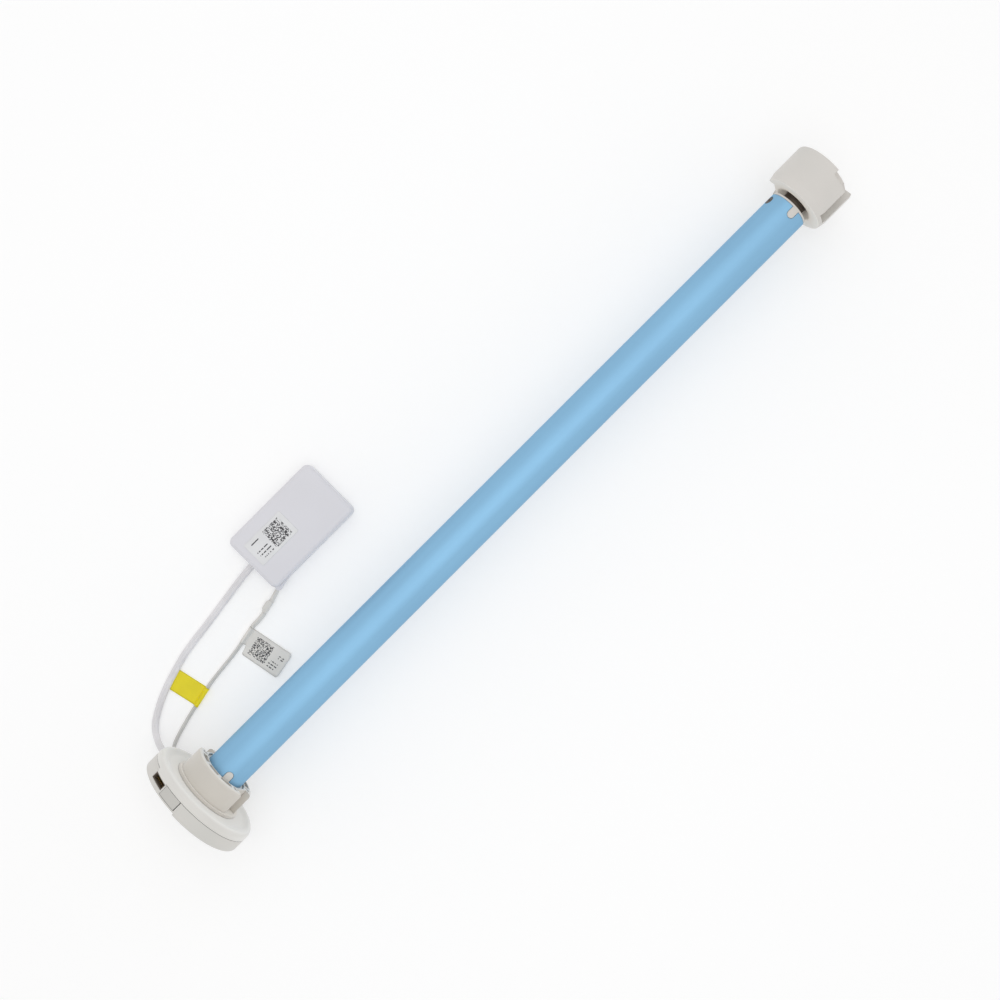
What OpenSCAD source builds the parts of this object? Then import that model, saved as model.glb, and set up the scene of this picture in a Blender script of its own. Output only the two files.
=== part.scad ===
// Tubular roller blind motor with a round head, a free crown, a drive wheel and a radio module on two leads.
// Millimetres. +X runs along the motor from the head to the drive wheel, +Z is up, the module lies on +Y.
// The origin is the centre of the head's end face. The motor lies on the plane that the head's rim touches.
// Angles round the motor are counted from +Z towards -Y.

/* [Tube] */
// Outer diameter of the motor tube
tube_d = 25; // [24:0.5:27]
// Wall of the motor tube
tube_wall = 1; // [0.7:0.1:1.2]
// Length of the motor tube
tube_len = 481.6; // [440:1:560]
// Width of the slots in both tube ends
slot_w = 4.8; // [3:0.2:6]
// Angle of the tube end slots
slot_angle = 15; // [0:1:30]

/* [Head] */
// Diameter of the head
head_d = 72; // [66:1:80]
// Width of the head along the motor
head_w = 14.6; // [13.5:0.1:18]
// Width of the end cover, up to the seam
seam_x = 9; // [8.4:0.1:9.2]
// Wall of the head covers
cover_wall = 2; // [1.6:0.1:2.6]
// Radius of the head's front edge
front_round = 3; // [2:0.5:4.5]
// Depth of the dish in the head's front face
dish = 1.4; // [0.6:0.1:1.6]
// Diameter of the socket for the bracket pin
socket_d = 10; // [8:0.5:12]
// Depth of the socket for the bracket pin
socket_depth = 7.5; // [6:0.1:7.6]

/* [Port and button] */
// Angle of the charging port on the rim
port_angle = -41; // [-44:0.5:-41]
// Opening of the charging port round the rim
port_len = 12; // [9:0.5:12]
// Opening of the charging port along the motor
port_h = 4.2; // [3.6:0.1:4.4]
// Angle of the setting button's middle
button_angle = -19.4; // [-20:0.1:-18]
// Width of the setting button round the rim
button_w = 12.8; // [8:0.2:13]
// Travel of the setting button
button_travel = 0.8; // [0.4:0.1:1]

/* [Crown] */
// Diameter of the crown's body
crown_d = 41.4; // [39:0.2:42]
// Length of the crown, with its flange
crown_len = 16.3; // [15.5:0.1:16.5]
// Diameter of the crown's flange
crown_flange_d = 44.8; // [43:0.2:50]
// Thickness of the crown's flange
crown_flange_t = 1.8; // [1.2:0.1:2.4]
// Width of the crown's keyways
crown_key_w = 12; // [8:0.5:13]
// Angle of the crown's first keyway
crown_key_angle = 70; // [60:1:80]

/* [Drive wheel] */
// Diameter of the drive wheel
wheel_d = 41.8; // [40:0.2:46]
// Length of the drive wheel
wheel_len = 26.6; // [22:0.2:32]
// Gap between the tube's end cap and the drive wheel
wheel_gap = 3.5; // [2:0.1:5]
// Width of the short keyway
wheel_key_w = 8.5; // [6:0.5:10]
// Angle of the short keyway
wheel_key_angle = 63; // [58:1:68]
// Solid stretch ahead of the short keyway
key_stop = 2.4; // [0.8:0.1:4.2]
// Length of the taper at the drive wheel's near end
wheel_taper_len = 4.8; // [4.5:0.1:7]
// Loss of radius over that taper
wheel_taper = 0.9; // [0.4:0.1:1.4]
// Radius of the drive wheel's near edge
wheel_round = 0.6; // [0.3:0.1:0.7]
// Diameter of the output shaft
shaft_d = 8; // [7:0.1:9]

/* [Gearbox] */
// Gear module
gear_m = 0.42; // [0.38:0.01:0.43]
// Width of the gears
gear_w = 8; // [6:0.5:10]
// Diameter of the planet pins
planet_pin_d = 2.4; // [2:0.1:3]

/* [Radio module] */
// Length of the radio module
module_len = 68.6; // [60:0.2:80]
// Width of the radio module
module_w = 41.3; // [38:0.2:50]
// Thickness of the radio module
module_t = 12; // [10:0.2:16]
// Corner radius of the radio module
module_corner = 4; // [3:0.2:6]
// Edge radius of the module's top
module_edge = 1.8; // [1:0.1:2.5]
// Width of the wide lead
wide_lead_w = 4.3; // [3.6:0.1:5]
// Thickness of the wide lead
wide_lead_t = 2.2; // [1.8:0.1:2.6]
// Diameter of the thin lead
thin_lead_d = 2.35; // [2:0.05:2.5]
// Diameter of the sleeve on the thin lead
lead_sleeve_d = 3; // [2.8:0.1:3.4]

/* [Hidden] */
$fn = 64;
hull_fn = 32;
pi_deg = 180 / PI;
slack = 0.05;
fit = 0.1;
tiny = 0.01;
skin = 0.03;
over = 1;

tube_r = tube_d / 2;
bore_r = tube_r - tube_wall;
inner_r = bore_r - slack;
head_r = head_d / 2;
floor_z = -head_r;
face_x = head_w - dish;
crown_r = crown_d / 2;
wheel_r = wheel_d / 2;
shaft_r = shaft_d / 2;

// Stations along the motor
tube_x = 16;
tube_end = tube_x + tube_len;
crown_x = face_x + fit;
crown_end = crown_x + crown_len;
neck_end = crown_end - 0.9;
cap_lip = 1.2;
cap_len = 14;
cap_x = tube_end - cap_len;
wheel_x = tube_end + cap_lip + wheel_gap;
wheel_end = wheel_x + wheel_len;
spigot_len = 9;
spigot_end = neck_end + spigot_len;
slot_head_len = 5.9;
slot_head_end = neck_end + slot_head_len;
slot_drive_len = 6.4;

stake_angles = [-70, 110];
stake_head_r = 2.7;
stake_x = tube_end - 5;

// Gear sizes: the ring has two planets and a sun across it
sun_teeth = 12;
planet_teeth = sun_teeth * 3 / 2;
ring_teeth = sun_teeth + 2 * planet_teeth;
pressure = 25;
tooth_up = 0.85;
tooth_down = 1.05;
tooth_play = 0.025;
planet_orbit = gear_m * (sun_teeth + planet_teeth) / 2;
carrier_r = planet_orbit + planet_pin_d / 2 + 1.2;
carrier_t = 3;
side_play = 0.3;
stage_pitch = gear_w + carrier_t + 2 * side_play + 1.5;
planet_count = 3;
bush_len = 10;
ring_len = 2 * stage_pitch + 6;
ring_x = cap_x - ring_len;
stage_x = [ring_x + 3, ring_x + 3 + stage_pitch];
motor_len = 52;
motor_x = ring_x - motor_len;
motor_cap_t = 2.5;
can_wall = 0.9;
rotor_r = 4.6;
rotor_len = 26;
motor_shaft_r = 1;
magnet_t = 3.2;
encoder_r = 4;
encoder_len = 3;
rotor_gap = 14;
rotor_x = motor_x + rotor_gap;
rotor_slots = 5;
commutator_x = motor_x + 6;
capacitor_pitch = 9;
board_notch = 9;
board_notch_w = 6.2;
board_inset = 5;
shaft_bite = 12;
stake_hole = 9;

// Battery and boards inside the tube
cell_r = 9.1;
cell_len = 65;
cell_count = 3;
cell_gap = 0.4;
cell_pitch = cell_len + cell_gap;
battery_x = spigot_end + 2;
sleeve_t = 1;
battery_len = cell_count * cell_pitch;
board_t = 1.6;
board_x = battery_x + battery_len + 6;
board_len = motor_x - board_x - 8;
board_w = 18;
board_grip = 3;
capacitor = [3, 6];

// The head's own pieces
rim_gap = 0.2;
edge_round = 1.6;
end_wall = 2.4;
tongue_t = 1.6;
tongue_end = face_x - cover_wall - fit;
boss_r = 3;
boss_orbit = 27.5;
boss_angles = [60, 180, -64];
screw_r = 1.1;
screw_head_r = 2.1;
screw_head_t = 1.4;
screw_sunk = 0.2;
screw_len = 8;
head_board_x = 4.4;
head_board_r = 31.8;
head_board_low = 16;
head_board_w = 30;
port_top = seam_x - 0.8;
port_x = port_top - port_h / 2;
lead_side = [-128, port_angle - asin(port_len / 2 / head_r) - 0.8];
lead_side_rise = 1.4;
low_side = [-140, -7];
low_side_step = 1.5;
low_side_r = 30;
port_depth = 6.5;
port_wall = 0.5;
button_x = 2.6;
button_len = seam_x - button_x - rim_gap;
button_gap = 0.15;
slit_w = 0.5;
button_stem_r = head_r - 5.2;
lead_exit_x = 5.2;
wide_exit_angle = -120;
thin_exit_angle = -136;
gland_proud = 1.2;
gland_edge = 0.7;
gland_in = 3.6;
gland_cut = gland_in + 2.4;

// The drive wheel's own sizes
wheel_key_depth = 5.6;
wheel_back_angle = -115.5;
wheel_back_w = 15.8;
wheel_back_depth = 6.7;
wheel_dish_r = 12.4;
wheel_dish_depth = 2.8;
wheel_hole_r = 7.6;
wheel_hole_len = 4.4;
wheel_seat_x = wheel_x + wheel_hole_len;
wheel_web = 2.6;
wheel_hollow_r = 11.6;
wheel_hub_wall = 3.4;
wheel_ribs = 6;
wheel_rib_t = 1.8;
wheel_cut = 4.2;
wheel_cut_angles = [13, 52];
wheel_cut_r = 15.4;
wheel_end_round = 1.2;
collar_r = wheel_hole_r - 0.3;
collar_x = tube_end + cap_lip + 1;
flat_depth = 0.8;
clip_t = 1;
clip_x = wheel_end - 3;
clip_room = 1;

// The crown's own sizes
crown_ring_r = 13.7;
crown_hub_t = 1.25;
crown_wall = 2.6;
crown_round = 2;
crown_pockets = 10;
crown_pocket_depth = 5;
crown_rib_t = 2.4;

// The radio module and the things on its leads
module_x = 121.3;
module_y = 57;
module_top = floor_z + module_t;
module_base_t = 2.5;
module_wall = 1.6;
chip_at = [40, 14];
chip_size = [18, 14, 3];
sticker_at = [5.5, 15.3];
sticker_size = [30.3, 17, 0.12];
flare_len = 12;
flare_out = 2;
thin_entry_y = module_y - 0.7;
tag_film = 0.15;
tag_loop_r = thin_lead_d / 2 + 0.15;
yellow_size = [13.4, 22.4];
yellow_corner = 0.6;
white_size = [13.6, 30];
white_corner = 1.4;
boot_len = 8;
boot_half = [2.3, 1.8];

// Colours
shell_white = [0.82, 0.81, 0.78];
shell_shade = [0.78, 0.77, 0.74];
tube_blue = [0.56, 0.76, 0.90];
module_white = [0.85, 0.85, 0.88];
lead_white = [0.84, 0.84, 0.86];
lead_grey = [0.73, 0.73, 0.72];
tag_yellow = [0.84, 0.82, 0.18];
label_white = [0.88, 0.88, 0.88];
dark_steel = [0.25, 0.23, 0.21];
bright_steel = [0.72, 0.73, 0.75];
brass = [0.78, 0.64, 0.35];
board_green = [0.12, 0.40, 0.24];
gear_cream = [0.90, 0.86, 0.74];
cell_blue = [0.20, 0.36, 0.62];

// Turns children so that their Z runs along the motor and their X points up at angle zero
module axial(x = 0) {
    translate([x, 0, 0]) rotate([0, 90, 0]) rotate([0, 0, 180]) children();
}

// A ring along the motor
module ring(x, length, outer, inner) {
    axial(x) difference() {
        cylinder(h = length, r = outer);
        translate([0, 0, -over]) cylinder(h = length + 2 * over, r = inner);
    }
}

// A block at an angle round the motor, from radius near to radius far
module spoke(x, length, angle, width, near, far) {
    axial(x) rotate([0, 0, angle]) translate([near, -width / 2, 0]) cube([far - near, width, length]);
}

// A part of a ring along the motor, between two angles
module sector(x, length, angles, outer, inner) {
    reach = 2 * outer;
    intersection() {
        ring(x, length, outer, inner);
        axial(x - over) linear_extrude(height = length + 2 * over) polygon(concat(
            [[0, 0]],
            [for (i = [0 : 4]) let (a = angles[0] + (angles[1] - angles[0]) * i / 4)
                [reach * cos(a), reach * sin(a)]]));
    }
}

// Turns children so that their Z points outwards at an angle round the motor and their X runs along it
module radial(x, angle, r = 0) {
    axial(x) rotate([0, 0, angle]) translate([r, 0, 0]) rotate([0, 90, 0]) rotate([0, 0, 180]) children();
}

// Points of an arc, for a profile
function arc(cx, cy, r, from, to, steps = 8) =
    [for (i = [0 : steps]) let (a = from + (to - from) * i / steps) [cx + r * cos(a), cy + r * sin(a)]];

// An extruded rectangle with round corners, lowest corner at the origin, made of exact pieces
module rounded_plate(length, width, thickness, r) {
    linear_extrude(height = thickness) union() {
        translate([r, 0]) square([length - 2 * r, width]);
        translate([0, r]) square([length, width - 2 * r]);
        for (x = [r, length - r], y = [r, width - r]) translate([x, y]) circle(r = r);
    }
}

// A slot with one round end, cut outwards through a wall from radius near to far
module end_slot(x, length, angle, width, near, far) {
    spoke(x, length - width / 2, angle, width, near, far);
    radial(x + length - width / 2, angle, near) cylinder(h = far - near, r = width / 2);
}

// The same slot, open towards the head
module start_slot(x, length, angle, width, near, far) {
    spoke(x + width / 2, length - width / 2, angle, width, near, far);
    radial(x + width / 2, angle, near) cylinder(h = far - near, r = width / 2);
}

// Involute teeth
function roll(a) = tan(a) - a / pi_deg;
function half_tooth(r, base, teeth, play) =
    90 / teeth - play * pi_deg / (base / cos(pressure))
    + (roll(pressure) - roll(acos(min(1, base / max(r, base))))) * pi_deg;
function gear_outline(teeth, up, down, play, steps = 3) =
    let (
        pitch = gear_m * teeth / 2,
        base = pitch * cos(pressure),
        low = pitch - down,
        high = pitch + up,
        from = max(low + 0.02, base),
        radii = concat([low], [for (i = [0 : steps]) from + (high - from) * i / steps])
    )
    [for (tooth = [0 : teeth - 1], side = [-1, 1], i = [0 : len(radii) - 1])
        let (r = side < 0 ? radii[i] : radii[len(radii) - 1 - i],
             a = tooth * 360 / teeth + side * half_tooth(r, base, teeth, play))
        [r * cos(a), r * sin(a)]];

module gear(teeth, length, hole_r) {
    difference() {
        linear_extrude(height = length)
            polygon(gear_outline(teeth, gear_m * tooth_up, gear_m * tooth_down, tooth_play));
        translate([0, 0, -over]) cylinder(h = length + 2 * over, r = hole_r);
    }
}

// Sub-parts of the head
module boss_holes(x, length, r) {
    for (a = boss_angles) axial(x) rotate([0, 0, a]) translate([boss_orbit, 0, 0])
        cylinder(h = length, r = r);
}

module button_window(grow) {
    width = button_w + 2 * grow;
    spoke(button_x - grow, button_len + 2 * grow + rim_gap, button_angle, width, head_r - 4, head_r + over);
}

module slit_cut() {
    axial(button_x - button_gap) rotate([0, 0, button_angle])
        translate([head_r - 4, button_w / 2, 0]) cube([4 + over, slit_w, seam_x - button_x + button_gap]);
}

module port_window() {
    spoke(port_top - port_h, tongue_end - port_top + port_h + over, port_angle, port_len,
          head_r - port_depth - 2, head_r + over);
}

module lead_hole(angle, length, width) {
    radial(lead_exit_x, angle, head_r - gland_cut) linear_extrude(height = gland_cut + over)
        square([length + 2 * (gland_edge + tiny), width + 2 * (gland_edge + tiny)], center = true);
}

module head_end_cover() {
    color(shell_white) difference() {
        union() {
            axial() rotate_extrude() polygon(concat(
                [[0, 0]],
                arc(head_r - edge_round, edge_round, edge_round, -90, 0, 4),
                [[head_r, seam_x - rim_gap],
                 [head_r - cover_wall - fit, seam_x - rim_gap],
                 [head_r - cover_wall - fit, tongue_end],
                 [head_r - cover_wall - fit - tongue_t, tongue_end],
                 [head_r - cover_wall - fit - tongue_t, end_wall],
                 [0, end_wall]]));
            sector(seam_x - over, lead_side_rise + over - rim_gap, lead_side, head_r - skin,
                   head_r - cover_wall - over);
            axial() cylinder(h = socket_depth + 1, r = socket_d / 2 + 3.5);
            boss_holes(0, seam_x, boss_r);
        }
        sector(-over, low_side_step + over, low_side, head_r + over, low_side_r);
        axial(-over) cylinder(h = socket_depth + over, r = socket_d / 2);
        for (a = [90, 270]) spoke(-over, socket_depth + over, a, 2.4, 0, socket_d / 2 + 2.2);
        boss_holes(-over, seam_x + 2 * over, screw_r + fit);
        boss_holes(-over, screw_head_t + over + screw_sunk, screw_head_r + fit);
        button_window(button_gap);
        slit_cut();
        port_window();
        lead_hole(wide_exit_angle, wide_lead_w, wide_lead_t);
        radial(lead_exit_x, thin_exit_angle, head_r - gland_cut)
            cylinder(h = gland_cut + over, r = thin_lead_d / 2 + gland_edge + tiny);
    }
}

module head_front_cover() {
    inside = face_x - cover_wall;
    color(shell_white) difference() {
        union() {
            axial() rotate_extrude() polygon(concat(
                [[head_r - cover_wall, seam_x], [head_r, seam_x]],
                arc(head_r - front_round, head_w - front_round, front_round, 0, 90, 8),
                [[head_r - front_round - 0.8, head_w - 0.1],
                 [head_r - front_round - 3.2, face_x + 0.25],
                 [head_r - front_round - 4.4, face_x],
                 [crown_ring_r, face_x],
                 [crown_ring_r, neck_end - 0.8],
                 [crown_ring_r + 0.4, neck_end - 0.6],
                 [crown_ring_r + 0.4, neck_end - 0.3],
                 [crown_ring_r - 0.2, neck_end],
                 [tube_r + slack, neck_end],
                 [tube_r + slack, tube_x],
                 [inner_r, tube_x],
                 [inner_r, spigot_end],
                 [inner_r - 1.8, spigot_end],
                 [inner_r - 1.8, inside],
                 [head_r - front_round - 1.2, inside],
                 [head_r - cover_wall, inside + fit]]));
            intersection() {
                spoke(port_top, seam_x - port_top + over, port_angle, port_len - fit,
                      head_r - 5, head_r + over);
                ring(0, head_w, head_r - skin, head_r - cover_wall + 0.3);
            }
            for (a = [slot_angle, slot_angle + 180])
                intersection() {
                    end_slot(tube_x, slot_head_end - tube_x - fit, a, slot_w - 2 * fit,
                             inner_r - 1, tube_r + over);
                    axial(tube_x) cylinder(h = slot_head_end - tube_x, r = tube_r);
                }
            for (a = boss_angles) axial(seam_x) rotate([0, 0, a]) translate([boss_orbit, 0, 0])
                cylinder(h = inside - seam_x + 0.5, r = boss_r);
        }
        sector(seam_x - over, lead_side_rise + over, lead_side, head_r + over, head_r - cover_wall - fit);
        boss_holes(seam_x - over, inside - seam_x + 1.5, screw_r);
    }
}

module setting_button() {
    color(shell_shade) {
        intersection() {
            spoke(button_x, button_len, button_angle, button_w, head_r - 4, head_r + over);
            ring(0, seam_x, head_r - 0.05, head_r - cover_wall - 0.4);
        }
        spoke(button_x + 1.5, 3, button_angle, 3, button_stem_r, head_r - cover_wall - 0.2);
    }
}

module button_switch() {
    top = button_stem_r - button_travel - 0.2;
    color(dark_steel) {
        spoke(button_x + 1.2, 3.6, button_angle, 6, top - 2.6, top - 0.6);
        spoke(button_x + 2, 2, button_angle, 2.4, top - 0.6, top + 0.1);
    }
}

// The board stands across the head, with its components towards the end face
module head_board() {
    color(board_green) difference() {
        intersection() {
            axial(head_board_x + 1.2) cylinder(h = board_t, r = head_board_r);
            translate([head_board_x, -2, head_board_low])
                cube([2 * board_t, head_board_w, head_board_r - head_board_low]);
        }
        spoke(0, head_w, port_angle, port_len + 0.2, head_r - port_depth - 0.8, head_r);
        spoke(0, head_w, button_angle, board_notch_w, head_r - board_notch, head_r);
    }
}

module port_socket() {
    color(dark_steel) difference() {
        spoke(port_x - port_h / 2 + 0.1, port_h - 0.2, port_angle, port_len - 0.2,
              head_r - port_depth, head_r - 0.7);
        spoke(port_x - port_h / 2 + 0.1 + port_wall, port_h - 0.2 - 2 * port_wall, port_angle,
              port_len - 0.2 - 2 * port_wall, head_r - port_depth + 1, head_r + over);
    }
}

module port_contacts() {
    pins = 4;
    pitch = 2;
    color(brass) for (i = [0 : pins - 1])
        axial(port_x - 0.3) rotate([0, 0, port_angle])
            translate([head_r - port_depth + 1, (i - (pins - 1) / 2) * pitch - 0.3, 0]) cube([4, 0.6, 0.6]);
}

module cover_screws() {
    color(bright_steel) for (a = boss_angles) axial() rotate([0, 0, a]) translate([boss_orbit, 0, 0]) {
        difference() {
            translate([0, 0, screw_sunk]) cylinder(h = screw_head_t, r = screw_head_r);
            for (turn = [0, 90]) rotate([0, 0, turn]) translate([-1.3, -0.25, -0.1]) cube([2.6, 0.5, 0.9]);
        }
        translate([0, 0, screw_sunk + screw_head_t]) cylinder(h = screw_len, r = screw_r - tiny);
    }
}

module wide_lead_gland() {
    color(lead_white) intersection() {
        radial(lead_exit_x, wide_exit_angle, head_r - gland_cut)
            linear_extrude(height = gland_cut + 2 * gland_proud)
            square([wide_lead_w + 2 * gland_edge, wide_lead_t + 2 * gland_edge], center = true);
        ring(0, seam_x + 1, head_r + gland_proud, head_r - gland_in);
    }
}

module thin_lead_gland() {
    color(lead_grey) radial(lead_exit_x, thin_exit_angle, head_r - gland_in)
        cylinder(h = gland_in + gland_proud, r = thin_lead_d / 2 + gland_edge);
}

// The crown turns freely on the head's neck
module crown_adaptor() {
    pocket_in = crown_ring_r + slack + crown_hub_t;
    pocket_x = crown_end - crown_pocket_depth;
    reach = crown_pocket_depth + over;
    color(shell_white) difference() {
        union() {
            axial(crown_x) cylinder(h = crown_flange_t, r = crown_flange_d / 2);
            axial() rotate_extrude() polygon(concat(
                [[0, crown_x], [crown_r, crown_x]],
                arc(crown_r - crown_round, crown_end - crown_round, crown_round, 0, 90, 6),
                [[0, crown_end]]));
        }
        axial(crown_x - over) cylinder(h = crown_len + 2 * over, r = crown_ring_r + slack);
        axial(neck_end - 0.9) cylinder(h = 3, r = crown_ring_r + 0.7);
        difference() {
            ring(pocket_x, reach, crown_r - crown_wall, pocket_in);
            for (i = [0 : crown_pockets - 1])
                spoke(pocket_x - over, reach + 2 * over, crown_key_angle + i * 360 / crown_pockets,
                      crown_rib_t, 0, crown_r);
            for (a = [crown_key_angle, crown_key_angle + 180])
                spoke(pocket_x - over, reach + 2 * over, a, crown_key_w + 3.2, 0, crown_r);
        }
        for (a = [crown_key_angle, crown_key_angle + 180])
            spoke(crown_x + crown_flange_t, crown_len, a, crown_key_w, pocket_in + 0.2, crown_flange_d);
    }
}

module tube_housing() {
    color(tube_blue) difference() {
        ring(tube_x, tube_len, tube_r, bore_r);
        for (a = [slot_angle, slot_angle + 180]) {
            end_slot(tube_x - over, slot_head_end - tube_x + over, a, slot_w, bore_r - 2, tube_r + over);
            start_slot(tube_end - slot_drive_len, slot_drive_len + over, a, slot_w,
                       bore_r - 2, tube_r + over);
        }
        for (a = stake_angles) radial(stake_x, a, bore_r - 2) cylinder(h = 5, r = stake_head_r + slack);
    }
}

module battery_sleeve() {
    color(dark_steel) difference() {
        union() {
            axial(battery_x) cylinder(h = battery_len, r = cell_r + slack + sleeve_t);
            for (a = [40, 160, 280])
                spoke(battery_x + over, battery_len - 2 * over, a, 3, cell_r + sleeve_t / 2, inner_r - fit);
        }
        axial(battery_x - over) cylinder(h = battery_len + 2 * over, r = cell_r + slack);
    }
}

module battery_cells() {
    color(cell_blue) for (i = [0 : cell_count - 1]) axial(battery_x + i * cell_pitch) {
        cylinder(h = cell_len - 1.2, r = cell_r);
        translate([0, 0, cell_len - 1.2]) cylinder(h = 1.2, r = 3);
    }
}

module board_holder() {
    length = 2 * board_grip;
    color(gear_cream) for (x = [board_x - board_grip, board_x + board_len - board_grip]) difference() {
        axial(x) cylinder(h = length, r = inner_r);
        translate([x - over, -board_w / 2 - slack, -board_t / 2 - slack])
            cube([length + 2 * over, board_w + 2 * slack, board_t + 2 * slack]);
        axial(x - over) translate([-5.5, 0, 0]) cylinder(h = length + 2 * over, r = 2);
    }
}

module control_board() {
    color(board_green) {
        translate([board_x - board_grip, -board_w / 2, -board_t / 2])
            cube([board_len + 2 * board_grip, board_w, board_t]);
        for (chip = [[8, 10, 1.6], [26, 7, 1.2]])
            translate([board_x + chip[0], -chip[1] / 2, board_t / 2]) cube([chip[1], chip[1], chip[2]]);
        for (i = [0 : 2]) translate([board_x + 40 + i * capacitor_pitch, 0, board_t / 2])
            cylinder(h = capacitor[1], r = capacitor[0]);
    }
}

module motor_can() {
    color(bright_steel) difference() {
        axial(motor_x) cylinder(h = motor_len, r = inner_r);
        axial(motor_x - over) cylinder(h = motor_len - 1.4 + over, r = inner_r - can_wall);
        axial(motor_x) cylinder(h = motor_len + over, r = 3);
    }
}

module motor_end_cap() {
    color(gear_cream) difference() {
        axial(motor_x) cylinder(h = motor_cap_t, r = inner_r - can_wall - slack);
        axial(motor_x - over) cylinder(h = motor_cap_t + 2 * over, r = motor_shaft_r + slack);
    }
}

module motor_magnets() {
    outer = inner_r - can_wall - slack;
    color(dark_steel) difference() {
        ring(rotor_x - 2, rotor_len + 4, outer, outer - magnet_t);
        for (a = [0, 180]) spoke(rotor_x - 3, rotor_len + 6, a, 5, 0, tube_r);
    }
}

module motor_rotor() {
    color(bright_steel) union() {
        axial(motor_x - encoder_len - 2)
            cylinder(h = stage_x[0] + gear_w - motor_x + encoder_len + 2, r = motor_shaft_r);
        axial(rotor_x) difference() {
            cylinder(h = rotor_len, r = rotor_r);
            for (i = [0 : rotor_slots - 1]) rotate([0, 0, i * 360 / rotor_slots])
                translate([2, -0.5, -over]) cube([rotor_r, 1, rotor_len + 2 * over]);
        }
        axial(commutator_x) cylinder(h = 5, r = 2.4);
    }
}

module encoder_magnet() {
    color(dark_steel) difference() {
        axial(motor_x - encoder_len - 1) cylinder(h = encoder_len, r = encoder_r);
        axial(motor_x - encoder_len - 2) cylinder(h = encoder_len + 2, r = motor_shaft_r + tiny / 2);
    }
}

// Planetary stages: planets mesh with the sun inside them and the ring outside them
sun_turn = 180 / sun_teeth;

module sun_gear_1() {
    color(brass) axial(stage_x[0]) rotate([0, 0, sun_turn]) gear(sun_teeth, gear_w, motor_shaft_r + tiny / 2);
}

module sun_gear_2() {
    color(gear_cream) axial(stage_x[1]) rotate([0, 0, sun_turn])
        gear(sun_teeth, gear_w, motor_shaft_r + tiny / 2);
}

module planet(stage, index) {
    color(gear_cream) axial(stage_x[stage]) rotate([0, 0, index * 360 / planet_count])
        translate([planet_orbit, 0, 0]) gear(planet_teeth, gear_w, planet_pin_d / 2 + slack);
}
module planet_1a() { planet(0, 0); }
module planet_1b() { planet(0, 1); }
module planet_1c() { planet(0, 2); }
module planet_2a() { planet(1, 0); }
module planet_2b() { planet(1, 1); }
module planet_2c() { planet(1, 2); }

// A carrier plate behind a stage, with a pin through each planet
module carrier_plate(stage) {
    plate_x = stage_x[stage] + gear_w + side_play;
    axial(plate_x) cylinder(h = carrier_t, r = carrier_r);
    for (i = [0 : planet_count - 1]) axial(stage_x[stage]) rotate([0, 0, i * 360 / planet_count])
        translate([planet_orbit, 0, 0]) cylinder(h = gear_w + side_play + over, r = planet_pin_d / 2);
}

module carrier_1() {
    color(bright_steel) {
        carrier_plate(0);
        axial(stage_x[0] + gear_w + side_play + over)
            cylinder(h = stage_x[1] + gear_w - stage_x[0] - gear_w - side_play - over, r = motor_shaft_r);
    }
}

module output_carrier() {
    plate_x = stage_x[1] + gear_w + side_play;
    color(bright_steel) difference() {
        union() {
            carrier_plate(1);
            axial(plate_x) cylinder(h = carrier_t + 2, r = shaft_r + 1.6);
        }
        axial(plate_x + 1.4) cylinder(h = shaft_bite, r = shaft_r + tiny / 2);
    }
}

module ring_gear() {
    color(bright_steel) difference() {
        axial(ring_x) cylinder(h = ring_len, r = inner_r);
        axial(ring_x - over) linear_extrude(height = ring_len + 2 * over)
            polygon(gear_outline(ring_teeth, gear_m * tooth_down, gear_m * tooth_up, -tooth_play));
    }
}

module output_shaft() {
    start = stage_x[1] + gear_w + side_play + 1.4;
    color(dark_steel) difference() {
        union() {
            axial(start) cylinder(h = wheel_end - 1 - start, r = shaft_r);
            axial(collar_x) cylinder(h = wheel_seat_x - slack - collar_x, r = collar_r);
        }
        for (a = [0, 180]) spoke(wheel_seat_x, wheel_len, a, shaft_d + 2, shaft_r - flat_depth, shaft_r + 2);
        ring(clip_x, clip_t, shaft_r + over, shaft_r - flat_depth);
    }
}

module output_bush() {
    color(brass) difference() {
        axial(cap_x + 1) cylinder(h = bush_len, r = shaft_r + 2);
        axial(cap_x) cylinder(h = bush_len + 2, r = shaft_r + slack);
    }
}

module tube_end_cap() {
    color(shell_white) difference() {
        union() {
            axial(cap_x) cylinder(h = cap_len, r = inner_r);
            axial(tube_end) cylinder(h = cap_lip, r = tube_r - 0.1);
            for (a = [slot_angle, slot_angle + 180])
                intersection() {
                    start_slot(tube_end - slot_drive_len + fit, slot_drive_len, a, slot_w - 2 * fit,
                               inner_r - 1, tube_r);
                    axial(cap_x) cylinder(h = cap_len + cap_lip / 2, r = tube_r);
                }
        }
        axial(cap_x - over) cylinder(h = cap_len + cap_lip + 2 * over, r = shaft_r + 0.6);
        axial(cap_x - over) cylinder(h = over + 1 + bush_len, r = shaft_r + 2 + tiny / 2);
        for (a = stake_angles) {
            radial(stake_x, a, shaft_r + 1.5) cylinder(h = stake_hole, r = 1.2);
            radial(stake_x, a, bore_r - 1.2) cylinder(h = 3, r = stake_head_r + slack);
        }
    }
}

module stake_screws() {
    color(dark_steel) for (a = stake_angles) {
        radial(stake_x, a, shaft_r + 2.2) cylinder(h = bore_r - 1 - shaft_r - 2.2, r = 1.2 - tiny);
        radial(stake_x, a, bore_r - 1.2) difference() {
            cylinder(h = tube_wall + 1, r = stake_head_r);
            translate([-1.6, -0.3, tube_wall + 0.4]) cube([3.2, 0.6, 1]);
        }
    }
}

module wheel_flats() {
    for (a = [0, 180])
        spoke(wheel_seat_x, wheel_len, a, shaft_d + 2, shaft_r - flat_depth + slack, shaft_r + 2);
}

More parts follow.
